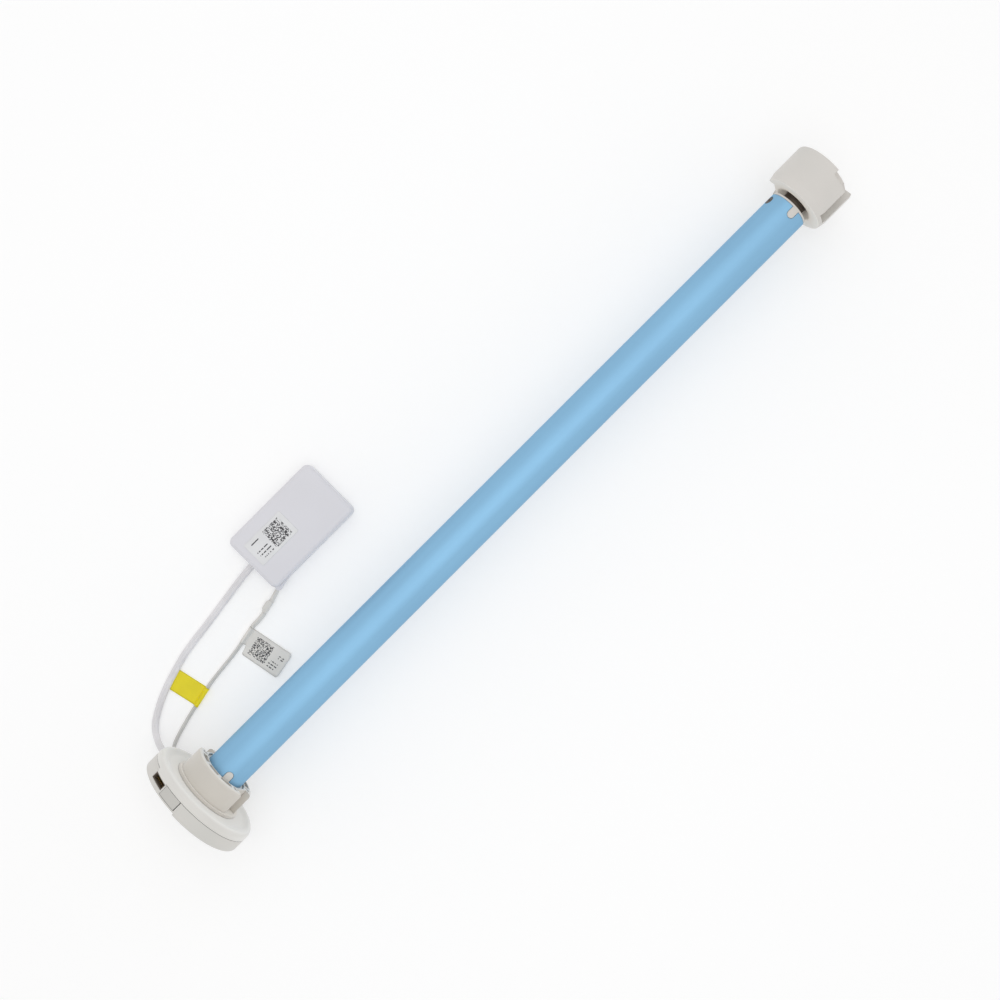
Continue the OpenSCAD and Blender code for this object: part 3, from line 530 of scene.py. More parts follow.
@dataclass(frozen=True)
class PrintedFilm(Film):
    """Film with a generic print: a block of random squares and a few rows of short dashes.

    The block is its place across and along the print and its side, and a row is its place and length,
    all in millimetres from the print's centre.
    """

    centre: Point = (0.0, 0.0, 0.0)
    turn: float = 0.0
    block: Point = (0.0, 0.0, 12.0)
    block_cells: int = 25
    block_ink: float = 0.5
    rows: tuple[Point, ...] = ()
    dash: tuple[float, float] = (0.62, 5.0)
    dash_ink: float = 0.74
    dash_half: float = 0.36
    ink: Rgb = (58, 57, 60)

    def printed(self, surface: Surface, paper: Socket) -> Socket:
        """Lays the block and the dashes on the film's upper face.

        Args:
            surface: The material's graph and shader.
            paper: The film's own colour.

        Returns:
            The colour's socket.
        """
        coordinates = surface.node("ShaderNodeTexCoord").outputs
        feeds = {"Vector": coordinates["Object"], "Location": millimetres(self.centre),
                 "Rotation": (0.0, 0.0, self.turn), "Scale": (MM, MM, MM)}
        local = surface.node("ShaderNodeMapping", feeds, vector_type="TEXTURE").outputs[0]
        u, v, _ = surface.split(local)
        up = surface.split(coordinates["Normal"])[2]
        block_u, block_v, size = self.block
        cell = size / self.block_cells
        mask = self.within(surface, self.squares(surface, u, v, (cell, cell), self.block_ink),
                           ((u, block_u, size / 2), (v, block_v, size / 2)))
        for row_u, row_v, length in self.rows:
            row = self.within(surface, self.squares(surface, u, v, self.dash, self.dash_ink),
                              ((v, row_v, length / 2), (u, row_u, self.dash_half)))
            mask = surface.math("MAXIMUM", mask, row)
        mask = surface.math("MULTIPLY", mask, surface.math("GREATER_THAN", up, 0.5))
        return surface.mix(mask, paper, linear(self.ink))

    def within(self, surface: Surface, mask: Socket, limits: Sequence[tuple[Socket, float, float]]) -> Socket:
        """Keeps a mask only where coordinates are near their middles.

        Args:
            surface: The material's graph and shader.
            mask: The mask.
            limits: Each coordinate with its middle and the distance on either side.

        Returns:
            The mask's socket.
        """
        for value, middle, half in limits:
            mask = surface.math("MULTIPLY", mask, surface.math("COMPARE", value, middle, half))
        return mask

    def squares(self, surface: Surface, u: Socket, v: Socket, cell: tuple[float, float],
                share: float) -> Socket:
        """Inks random cells of a grid.

        Args:
            surface: The material's graph and shader.
            u: The coordinate across the print.
            v: The coordinate along the print.
            cell: A cell's width along v and along u, in millimetres.
            share: The share of the cells that is inked.

        Returns:
            The mask's socket.
        """
        column, row = (surface.math("FLOOR", surface.math("DIVIDE", value, width))
                       for value, width in zip((v, u), cell))
        feeds = {"Vector": surface.joined(column, row)}
        dice = surface.node("ShaderNodeTexWhiteNoise", feeds, noise_dimensions="3D").outputs["Value"]
        return surface.math("LESS_THAN", dice, share)


@dataclass(frozen=True)
class CircuitBoard(Finish):
    """Solder mask with paler tracks under it."""

    depth: float = 0.00003
    speckle: float = 0.1
    track: Rgb = (46, 132, 78)
    cells: float = 700.0
    ripples: float = 9.0

    def build(self, surface: Surface) -> None:
        """Fills the material with a circuit board's solder mask.

        Args:
            surface: The material's graph and shader.
        """
        feeds = {"Vector": surface.place(), "Scale": self.cells}
        cells = surface.node("ShaderNodeTexVoronoi", feeds, distance="MANHATTAN").outputs["Distance"]
        track = surface.span(surface.math("SINE", surface.math("MULTIPLY", cells, self.ripples)), 0.2, 0.4)
        surface.take({"Base Color": surface.mix(track, linear(self.colour), linear(self.track)),
                      "Roughness": surface.math("MULTIPLY_ADD", track, self.speckle, self.roughness)})
        surface.bump(track, self.depth, self.softened(surface)["Normal"])


# Each finish's tint paints shade into its seams, corners and recesses.
SHELL = MouldedPlastic("shell_plastic_warm_white", (209, 207, 202), 0.5, painted_shade_tint=0.4, sheen=0.15)
# The front cover's plastic is the shell's made lighter as painted light on the head's front, and its paler
# ends are painted light on its face.
LIT_FRONT_SHELL = MouldedPlastic("front_plastic_painted_lighter", (218, 216, 211), 0.5, painted_shade_tint=0.4, sheen=0.7,
                             ends=(233, 231, 226))
# The paler ends of the crown and the wheel are painted light on their faces that face along the axis.
CROWN_SHELL = MouldedPlastic("crown_plastic_warm_white", (207, 202, 194), 0.55, painted_shade_tint=0.55, sheen=0.7,
                             ends=(229, 224, 215))
BUTTON_SHELL = MouldedPlastic("button_plastic_warm_white", (197, 195, 190), 0.46, painted_shade_tint=0.35)
# Its paler ends are painted light on the wheel's and the end cap's faces.
WHEEL_SHELL = MouldedPlastic("wheel_plastic_warm_white", (211, 208, 203), 0.5, painted_shade_tint=0.95, sheen=0.1,
                             ends=(238, 232, 223))
BLACK_PLASTIC = MouldedPlastic("black_moulded_plastic", (52, 47, 43), 0.45)
PORT_PLASTIC = MouldedPlastic("port_brown_plastic", (98, 87, 76), 0.4)
CREAM_PLASTIC = MouldedPlastic("cream_gear_plastic", (231, 221, 190), 0.4)
MODULE_SHELL = MouldedPlastic("module_plastic_cool_white", (219, 218, 223), 0.38, edge=0.0005,
                              depth=0.000003, drift_reach=0.006)
PAINT = TubePaint("tube_paint_light_blue", (138, 184, 216), 0.42, edge=0.0006, painted_shade_tint=0.3)
BRIGHT_STEEL = TurnedMetal("bright_turned_steel", (188, 190, 194), 0.32, stained=0.05)
DARK_STEEL = TurnedMetal("dark_turned_steel", (96, 88, 82), 0.45, stained=0.5)
BRASS = TurnedMetal("turned_brass", (214, 178, 102), 0.3, stained=0.1)
WIDE_SHEATH = LeadSheath("wide_lead_sheath", (223, 221, 223), 0.5)
THIN_SHEATH = LeadSheath("thin_lead_sheath", (201, 200, 197), 0.5)
SLEEVE_SHEATH = LeadSheath("lead_sleeve_sheath", (215, 213, 209), 0.45)
YELLOW_FILM = Film("yellow_tag_film", (229, 213, 10), 0.5)
BOARD = CircuitBoard("green_circuit_board", (24, 92, 54), 0.35)
CELL_WRAP = MouldedPlastic("cell_wrap_blue", (58, 98, 160), 0.3)


def dress(finishes: Mapping[str, Finish]) -> None:
    """Gives CAD nodes their materials.

    Args:
        finishes: The finish of each node.
    """
    for node, finish in finishes.items():
        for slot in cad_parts[node].material_slots:
            slot.material = finish.material()
        LOG.info("dressed %s with %s", node, finish.name)


def smooth_route(route: Sequence[Point], first: Vector, last: Vector, step: float) -> list[Vector]:
    """Draws a smooth line through a route's points.

    Args:
        route: The points in millimetres.
        first: The direction in which the line starts.
        last: The direction in which the line ends.
        step: The greatest gap between the new points, in metres.

    Returns:
        Close points in metres.
    """
    points = [millimetres(p) for p in route]
    slopes = [(after - before) / 2 for before, after in zip(points, points[2:])]
    slopes = [first.normalized() * (points[1] - points[0]).length, *slopes,
              last.normalized() * (points[-1] - points[-2]).length]
    line = []
    for a, b, from_a, to_b in zip(points, points[1:], slopes, slopes[1:]):
        count = max(2, math.ceil((b - a).length / step))
        for i in range(count):
            t = i / count
            line.append(a * (2 * t**3 - 3 * t**2 + 1) + from_a * (t**3 - 2 * t**2 + t)
                        + b * (3 * t**2 - 2 * t**3) + to_b * (t**3 - t**2))
    return [*line, points[-1]]


def length_of(line: Sequence[Vector]) -> float:
    """Measures a line from point to point."""
    return sum((b - a).length for a, b in zip(line, line[1:]))


def rides(piece: bpy.types.Object, body: str, slot: str, *nodes: str) -> None:
    """Makes a finished piece part of the model.

    Args:
        piece: The piece.
        body: The CAD body that it moves with.
        slot: The material slot of its finish, by name; not used.
        *nodes: The CAD nodes that it stands for.
    """
    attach(piece, body)
    if nodes:
        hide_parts(*nodes)
    LOG.info("built %s", piece.name)


def linked(name: str, data: bpy.types.ID) -> bpy.types.Object:
    """Makes an object and links it into the scene.

    Args:
        name: The object's name.
        data: Its mesh, curve, camera or light.

    Returns:
        The object.
    """
    made = bpy.data.objects.new(name, data)
    bpy.context.scene.collection.objects.link(made)
    return made


def settled(thing: bpy.types.Object, modifier: bpy.types.Modifier) -> bpy.types.Mesh:
    """Works out an object's modifier and takes it off.

    Args:
        thing: The object.
        modifier: Its only modifier.

    Returns:
        The resulting plain mesh.
    """
    thing.update_tag()
    graph = bpy.context.evaluated_depsgraph_get()
    mesh = bpy.data.meshes.new_from_object(thing.evaluated_get(graph), depsgraph=graph)
    thing.modifiers.remove(modifier)
    return mesh


def mesh_piece(name: str, mesh: bpy.types.Mesh, finish: Finish) -> bpy.types.Object:
    """Makes an object of a mesh, smooth except at sharp edges.

    Args:
        name: The object's name.
        mesh: Its mesh.
        finish: Its finish.

    Returns:
        The object, linked into the scene.
    """
    mesh.name = name
    if not mesh.materials:
        mesh.materials.append(finish.material())
    mesh.shade_smooth()
    mesh.set_sharp_from_angle(angle=SHARP_ANGLE)
    return linked(name, mesh)


def from_bmesh(name: str, shape: bmesh.types.BMesh, finish: Finish) -> bpy.types.Object:
    """Makes an object of a bmesh with its normals pointing outwards.

    Args:
        name: The object's name.
        shape: The bmesh, which is freed.
        finish: Its finish.

    Returns:
        The object.
    """
    bmesh.ops.remove_doubles(shape, verts=shape.verts, dist=1e-7)
    bmesh.ops.recalc_face_normals(shape, faces=shape.faces)
    mesh = bpy.data.meshes.new(name)
    shape.to_mesh(mesh)
    shape.free()
    return mesh_piece(name, mesh, finish)


def loft(rings: Sequence[Sequence[Vector]]) -> bmesh.types.BMesh:
    """Joins rings of as many points each into one skin with closed ends.

    Args:
        rings: The rings in order.

    Returns:
        The skin.
    """
    shape = bmesh.new()
    rows = [[shape.verts.new(point) for point in ring] for ring in rings]
    count = len(rows[0])
    for low, high in zip(rows, rows[1:]):
        for i in range(count):
            shape.faces.new((low[i], low[(i + 1) % count], high[(i + 1) % count], high[i]))
    shape.faces.new(list(reversed(rows[0])))
    shape.faces.new(rows[-1])
    return shape


class GeometryTree:
    """A Geometry Nodes tree with named inputs, and what applies it to an object."""

    KINDS = {"geometry": "NodeSocketGeometry", "length": "NodeSocketFloat", "count": "NodeSocketInt",
             "object": "NodeSocketObject", "material": "NodeSocketMaterial"}

    def __init__(self, name: str, inputs: Mapping[str, str]) -> None:
        """Starts the tree.

        Args:
            name: The tree's name.
            inputs: Each input's name and kind. The geometry and the material come by themselves.
        """
        self.tree = bpy.data.node_groups.new(name, "GeometryNodeTree")
        for label, kind in {"Geometry": "geometry", **inputs, "Material": "material"}.items():
            self.tree.interface.new_socket(name=label, in_out="INPUT", socket_type=self.KINDS[kind])
        self.tree.interface.new_socket(name="Geometry", in_out="OUTPUT", socket_type=self.KINDS["geometry"])
        self.graph = Graph(self.tree)
        self.inputs = self.graph.node("NodeGroupInput").outputs

    def close(self, geometry: Socket) -> None:
        """Ends the tree with Realize Instances and Set Material.

        Args:
            geometry: What the tree made.
        """
        real = self.graph.node("GeometryNodeRealizeInstances", {"Geometry": geometry}).outputs[0]
        feeds = {"Geometry": real, "Material": self.inputs["Material"]}
        painted = self.graph.node("GeometryNodeSetMaterial", feeds).outputs[0]
        self.graph.node("NodeGroupOutput", {0: painted})

    def apply(self, name: str, source: bpy.types.Object, values: Mapping[str, object],
              finish: Finish) -> bpy.types.Object:
        """Runs the tree on an object and keeps the result as a plain mesh.

        Args:
            name: The new object's name.
            source: The object that the tree starts from, which is removed.
            values: The inputs' values by name.
            finish: The finish.

        Returns:
            The new object.
        """
        modifier = source.modifiers.new(name, "NODES")
        modifier.node_group = self.tree
        sockets = self.tree.interface.items_tree
        keys = {item.name: item.identifier for item in sockets if item.in_out == "INPUT"}
        for label, value in {**values, "Material": finish.material()}.items():
            modifier[keys[label]] = value
        mesh = settled(source, modifier)
        bpy.data.objects.remove(source)
        return mesh_piece(name, mesh, finish)


class SweepTree(GeometryTree):
    """Sweeps a rounded profile, with grooves along its flat faces and narrower ends, along a line."""

    PLAIN = {"Groove Pitch": 1.0, "Groove Share": 0.0, "End Share": 1.0, "End Length": MM}

    def __init__(self) -> None:
        """Builds the tree, in which the profile, its grooves and its narrower ends come in turn."""
        super().__init__("sweep_along_line", {"Width": "length", "Height": "length", "Corner": "length",
                                              "Groove Pitch": "length", "Groove Share": "length",
                                              "Points Round": "count", "End Share": "length",
                                              "End Length": "length"})
        g, into = self.graph, self.inputs
        box = g.node("GeometryNodeCurvePrimitiveQuadrilateral",
                     {"Width": into["Width"], "Height": into["Height"]}).outputs[0]
        rounded = g.node("GeometryNodeFilletCurve", {"Curve": box, "Radius": into["Corner"]},
                         mode="BEZIER").outputs[0]
        profile = g.node("GeometryNodeResampleCurve",
                         {"Curve": rounded, "Count": into["Points Round"]}).outputs[0]
        x, y, _ = g.split(g.node("GeometryNodeInputPosition").outputs[0])
        wave = g.math("COSINE", g.math("DIVIDE", g.math("MULTIPLY", x, math.pi), into["Groove Pitch"]))
        narrow = g.math("POWER", g.math("MULTIPLY", wave, wave), 3.0)
        share = g.math("SUBTRACT", 1.0, g.math("MULTIPLY", narrow, into["Groove Share"]))
        moved = g.joined(x, g.math("MULTIPLY", y, share))
        grooved = g.node("GeometryNodeSetPosition", {"Geometry": profile, "Position": moved}).outputs[0]
        line = g.node("GeometryNodeSetCurveNormal", {"Curve": into["Geometry"]}, mode="Z_UP").outputs[0]
        along = g.node("GeometryNodeSplineParameter").outputs["Length"]
        whole = g.node("GeometryNodeSplineLength").outputs["Length"]
        to_end = g.math("MINIMUM", along, g.math("SUBTRACT", whole, along))
        rise = g.math("DIVIDE", to_end, into["End Length"], clamp=True)
        rest = g.math("SUBTRACT", 1.0, into["End Share"])
        scale = g.math("ADD", into["End Share"], g.math("MULTIPLY", rest, rise))
        feeds = {"Curve": line, "Profile Curve": grooved, "Scale": scale, "Fill Caps": True}
        self.close(g.node("GeometryNodeCurveToMesh", feeds).outputs[0])

    def sweep(self, name: str, line: Sequence[Vector], size: tuple[float, float, float, int], finish: Finish,
              extra: Mapping[str, object] | None = None) -> bpy.types.Object:
        """Sweeps along a line.

        Args:
            name: The new object's name.
            line: The line's points in metres.
            size: The profile's width, height and corner in millimetres, and its number of points.
            finish: The finish.
            extra: The inputs of grooves and ends, where there are any.

        Returns:
            The swept piece.
        """
        curve = bpy.data.curves.new(name, "CURVE")
        curve.dimensions = "3D"
        spline = curve.splines.new("POLY")
        spline.points.add(len(line) - 1)
        for point, place in zip(spline.points, line):
            point.co = (*place, 1.0)
        width, height, corner, points = size
        values = {**self.PLAIN, "Width": width * MM, "Height": height * MM, "Corner": corner * MM,
                  "Points Round": points, **(extra or {})}
        return self.apply(name, linked(name + "_line", curve), values, finish)


class ScatterTree(GeometryTree):
    """Places one item at each point of a mesh, with its top along the point's aim."""

    AIM = "aim"

    def __init__(self) -> None:
        """Builds the tree, which reads each point's aim and turns the item to it."""
        super().__init__("item_at_each_point", {"Item": "object", "Scale": "length"})
        g, into = self.graph, self.inputs
        aim = g.node("GeometryNodeInputNamedAttribute", {"Name": self.AIM},
                     data_type="FLOAT_VECTOR").outputs[0]
        turn = g.node("FunctionNodeAlignRotationToVector", {"Vector": aim}, axis="Z").outputs[0]
        item = g.node("GeometryNodeObjectInfo", {"Object": into["Item"], "As Instance": True})
        placed = g.node("GeometryNodeInstanceOnPoints",
                        {"Points": into["Geometry"], "Instance": item.outputs["Geometry"],
                         "Rotation": turn, "Scale": into["Scale"]})
        self.close(placed.outputs[0])

    def scatter(self, name: str, item: bpy.types.Object, places: Sequence[tuple[Vector, Vector]],
                finish: Finish) -> bpy.types.Object:
        """Places an item at several points.

        Args:
            name: The new object's name.
            item: The item, with its top along +Z, which is removed.
            places: Each point with the direction of the item's top.
            finish: The finish.

        Returns:
            All the copies as one piece.
        """
        mesh = bpy.data.meshes.new(name + "_points")
        mesh.from_pydata([point for point, _ in places], [], [])
        attribute = mesh.attributes.new(self.AIM, "FLOAT_VECTOR", "POINT")
        for entry, (_, aim) in zip(attribute.data, places):
            entry.vector = aim
        made = self.apply(name, linked(name + "_points", mesh), {"Item": item, "Scale": 1.0}, finish)
        bpy.data.objects.remove(item)
        return made


def round_the_motor(angle: float, radius: float, x: float) -> Vector:
    """Finds a point in metres, by its angle from +Z towards -Y in degrees and sizes in millimetres."""
    turn = math.radians(angle)
    return millimetres((x, -radius * math.sin(turn), radius * math.cos(turn)))


def outward(angle: float) -> Vector:
    """Gives the direction away from the motor's axis at an angle."""
    return round_the_motor(angle, 1.0, 0.0).normalized()


@dataclass
class Screws:
    """Cross-recess screws, seen from their heads, in millimetres."""

    head_r: float
    head_t: float
    shank_r: float
    shank_len: float
    recess_r: float
    recess_depth: float
    rise: float = 0.25
    edge_r: float = 0.35
    tip_share: float = 0.6
    tip_len: float = 0.5
    sides: int = 40

    def item(self, name: str, finish: Finish) -> bpy.types.Object:
        """Turns one screw on its axis and cuts its recess.

        Args:
            name: The object's name.
            finish: The finish.

        Returns:
            The screw, its head's top at the origin and pointing up.
        """
        edge = min(self.edge_r, self.head_t * 0.3)
        end = -self.head_t - self.shank_len
        profile = [(self.shank_r * self.tip_share, end), (self.shank_r, end + self.tip_len),
                   (self.shank_r, -self.head_t), (self.head_r, -self.head_t)]
        profile += [(self.head_r - edge + edge * math.cos(a), -self.rise - edge + edge * math.sin(a))
                    for a in (math.radians(d) for d in (0, 30, 60, 90))]
        profile += [(self.head_r * share, -self.rise * share * share) for share in (0.7, 0.45, 0.2)]
        turns = [2 * math.pi * i / self.sides for i in range(self.sides)]
        rings = [[millimetres((r * math.cos(a), r * math.sin(a), z)) for a in turns] for r, z in profile]
        screw = from_bmesh(name, loft(rings), finish)
        self.recess(screw, finish)
        return screw

    def recess(self, screw: bpy.types.Object, finish: Finish) -> None:
        """Cuts the tapered cross into the head.

        Args:
            screw: The screw.
            finish: The screw's finish.
        """
        wing = 0.16 * self.recess_r + 0.08
        arms = []
        for corner in range(4):
            c, s = math.cos(math.radians(90 * corner)), math.sin(math.radians(90 * corner))
            for u, v in ((self.recess_r, -wing), (self.recess_r, wing), (wing, wing)):
                arms.append((u * c - v * s, u * s + v * c))
        rings = [[millimetres((u * share, v * share, z)) for u, v in arms]
                 for share, z in ((0.45, -self.recess_depth), (1.0, 0.0), (1.1, 0.3))]
        cutter = from_bmesh("cross_cutter", loft(rings), finish)
        cut = screw.modifiers.new("recess", "BOOLEAN")
        cut.object = cutter
        cut.operation = "DIFFERENCE"
        cut.solver = "EXACT"
        screw.data = settled(screw, cut)
        screw.data.set_sharp_from_angle(angle=SHARP_ANGLE)
        bpy.data.objects.remove(cutter)


@dataclass
class Head:
    """The round head with its port, button, screws and glands."""

    port_angle: float = -41.0
    contact_x: float = 5.8
    contact_r: float = 30.6
    contact_half: float = 0.3
    contact_t: float = 0.16
    contact_pitch: float = 1.55
    contact_count: int = 6
    contact_bend: tuple[tuple[float, float], ...] = ((0.0, 0.0), (0.9, 0.0), (1.6, 0.3), (2.4, 0.55),
                                                     (3.0, 0.5), (3.6, 0.2))
    boss_x: float = 0.2
    boss_orbit: float = 27.5
    boss_angles: tuple[float, ...] = (60.0, 180.0, -64.0)
    screws: Screws = field(default_factory=lambda: Screws(2.1, 1.4, 1.05, 7.5, 1.25, 0.8))

    def build(self, scatter: ScatterTree) -> None:
        """Dresses the head and adds its small metal pieces.

        Args:
            scatter: The tree that places copies.
        """
        dress({"head_end_cover": SHELL, "head_front_cover": LIT_FRONT_SHELL, "setting_button": BUTTON_SHELL,
               "button_switch": BLACK_PLASTIC, "head_board": BOARD, "port_socket": PORT_PLASTIC,
               "wide_lead_gland": WIDE_SHEATH, "thin_lead_gland": THIN_SHEATH})
        places = [(round_the_motor(angle, self.boss_orbit, self.boss_x), TO_BRACKET)
                  for angle in self.boss_angles]
        screw = self.screws.item("cover_screw", BRIGHT_STEEL)
        rides(scatter.scatter("cover_screws_cross", screw, places, BRIGHT_STEEL), MOTOR, "bright_steel",
              "cover_screws")
        rides(self.contacts(scatter), MOTOR, "contact_brass", "port_contacts")

    def contacts(self, scatter: ScatterTree) -> bpy.types.Object:
        """Bends one spring contact and places it along the port's floor.

        Args:
            scatter: The tree that places copies.

        Returns:
            The row of contacts.
        """
        rings = [[millimetres((side * self.contact_half, lift + face * self.contact_t, reach))
                  for side, face in ((-1, 0), (1, 0), (1, 1), (-1, 1))] for reach, lift in self.contact_bend]
        contact = from_bmesh("contact", loft(rings), BRASS)
        out = outward(self.port_angle)
        across = Vector((0.0, -out.z, out.y))
        middle = round_the_motor(self.port_angle, self.contact_r, self.contact_x)
        first = -(self.contact_count - 1) / 2
        places = [(middle + across * (first + i) * self.contact_pitch * MM, out)
                  for i in range(self.contact_count)]
        return scatter.scatter("port_spring_contacts", contact, places, BRASS)


@dataclass
class Drive:
    """The tube, what it holds, the crown and the drive wheel."""

    stake_x: float = 492.6
    stake_r: float = 12.38
    stake_angles: tuple[float, ...] = (-70.0, 110.0)
    stakes: Screws = field(default_factory=lambda: Screws(2.6, 1.2, 1.1, 3.6, 1.5, 0.9, rise=0.02))

    def build(self, scatter: ScatterTree) -> None:
        """Dresses the tube's pieces and adds the screws that hold the end cap.

        Args:
            scatter: The tree that places copies.
        """
        dress({"crown_adaptor": CROWN_SHELL, "tube_housing": PAINT, "battery_sleeve": BLACK_PLASTIC,
               "battery_cells": CELL_WRAP, "board_holder": CREAM_PLASTIC, "control_board": BOARD,
               "motor_can": BRIGHT_STEEL, "motor_end_cap": CREAM_PLASTIC, "motor_magnets": DARK_STEEL,
               "motor_rotor": BRIGHT_STEEL, "encoder_magnet": DARK_STEEL, "sun_gear_1": BRASS,
               "carrier_1": BRIGHT_STEEL, "sun_gear_2": CREAM_PLASTIC, "output_carrier": BRIGHT_STEEL,
               "ring_gear": BRIGHT_STEEL, "output_shaft": DARK_STEEL, "output_bush": BRASS,
               "tube_end_cap": WHEEL_SHELL, "drive_wheel": WHEEL_SHELL, "wheel_clip": BRIGHT_STEEL})
        dress({f"planet_{stage}{copy}": CREAM_PLASTIC for stage in "12" for copy in "abc"})
        places = [(round_the_motor(angle, self.stake_r, self.stake_x), outward(angle))
                  for angle in self.stake_angles]
        stake = self.stakes.item("stake_screw", DARK_STEEL)
        rides(scatter.scatter("end_cap_screws", stake, places, DARK_STEEL), MOTOR, "dark_steel",
              "stake_screws")


@dataclass
class RadioModule:
    """The flat box on the leads, with its sticker."""

    sticker: PrintedFilm = PrintedFilm(
        "sticker_print", (223, 223, 224), 0.45, coat=0.1, centre=(141.95, 80.8, -24.0),
        turn=math.radians(90), block=(0.0, -5.2, 13.2),
        rows=((-5.6, 7.2, 8.0), (-3.2, 7.6, 9.0), (-0.8, 8.4, 9.0), (5.3, 8.6, 6.0)))

    def build(self) -> None:
        """Dresses the box and its sticker."""
        dress({"module_base": MODULE_SHELL, "module_lid": MODULE_SHELL, "module_board": BOARD,
               "module_sticker": self.sticker})


@dataclass
class Fold:
    """A film folded round the thin lead, with its two leaves lying together on the floor.

    Its leaves reach a distance to one side of the lead, with rounded corners and a little lift at
    their ends. A leaf may be wider past a neck, by a flare on the side of the head. All in millimetres.
    """

    start: Vector
    end: Vector
    lead_d: float
    reach: float
    width: float
    way: int
    corner: float
    lift: float
    neck: float = 0.0
    flare: float = 0.0
    film: float = 0.15
    gap: float = 0.02
    root: float = 1.9
    lift_power: float = 2.2
    under_share: float = 0.8
    turn_start: float = -80.0
    turn_whole: float = 200.0
    turn_steps: int = 24
    wave: float = 0.05
    rows: int = 12
    columns: int = 30

    def middle(self) -> Vector:
        """Gives the fold's middle on the floor."""
        middle = (self.start + self.end) / 2
        return Vector((middle.x, middle.y, FLOOR_Z))

    def along(self) -> Vector:
        """Gives the lead's level direction at the fold."""
        heading = self.end - self.start
        return Vector((heading.x, heading.y, 0)).normalized()

    def side(self) -> Vector:
        """Gives the direction in which the leaves reach."""
        return UP.cross(self.along()) * self.way

    def section(self) -> list[Point]:
        """Draws the folded film's middle line, from one leaf's end round the lead to the other's.

        Returns:
            Each point's reach to the side, height over the floor and distance from the leaf's end.
        """
        half = self.film / 2
        loop = self.lead_d / 2 + self.film + half
        high = 3 * half + self.gap
        leaf = []
        for i in range(self.columns + 1):
            reach = self.reach + (self.root - self.reach) * (i / self.columns)
            past = max(0.0, reach - self.root) / self.reach
            leaf.append((reach, self.lift * past**self.lift_power))
        under = [(reach, half + lift * self.under_share, self.reach - reach) for reach, lift in leaf]
        over = [(reach, high + lift, self.reach - reach) for reach, lift in reversed(leaf)]
        turns = [math.radians(self.turn_start - i * self.turn_whole / self.turn_steps)
                 for i in range(self.turn_steps + 1)]
        round_lead = [(loop * math.cos(a), loop + half + loop * math.sin(a), self.reach) for a in turns]
        return under + round_lead + over

    def rounded(self, distance: float) -> float:
        """Gives how far a rounded corner cuts in, by the distance from the edge that it ends at."""
        rest = max(0.0, self.corner - distance)
        return self.corner - math.sqrt(max(0.0, self.corner**2 - rest**2))

    def wider(self, reach: float) -> float:
        """Gives how much wider a leaf is at a reach, past its neck."""
        past = reach - self.neck
        return 0.0 if self.flare == 0.0 or past < 0.0 else self.flare - self.rounded(past)

    def build(self, name: str, finish: Finish) -> bpy.types.Object:
        """Builds the film and gives it its thickness.

        Args:
            name: The object's name.
            finish: The finish.

        Returns:
            The folded film.
        """
        shape = bmesh.new()
        middle, along, side = self.middle(), self.along(), self.side()
        columns = []
        for reach, height, to_end in self.section():
            high = self.width / 2 - self.rounded(to_end)
            low = -high - self.wider(reach)
            calm = min(1.0, max(0.0, reach - 3) / 6)
            column = []
            for row in range(self.rows + 1):
                across = low + (high - low) * row / self.rows
                wave = self.wave * math.sin(reach * 0.45) * math.cos(across * 0.3) * calm
                place = middle + along * across + side * reach + UP * max(self.film / 2, height + wave)
                column.append(shape.verts.new(place * MM))
            columns.append(column)
        for a, b in zip(columns, columns[1:]):
            for row in range(self.rows):
                shape.faces.new((a[row], a[row + 1], b[row + 1], b[row]))
        made = from_bmesh(name, shape, finish)
        thick = made.modifiers.new("thickness", "SOLIDIFY")
        thick.thickness = self.film * MM
        thick.offset = 0.0
        made.data = settled(made, thick)
        return made


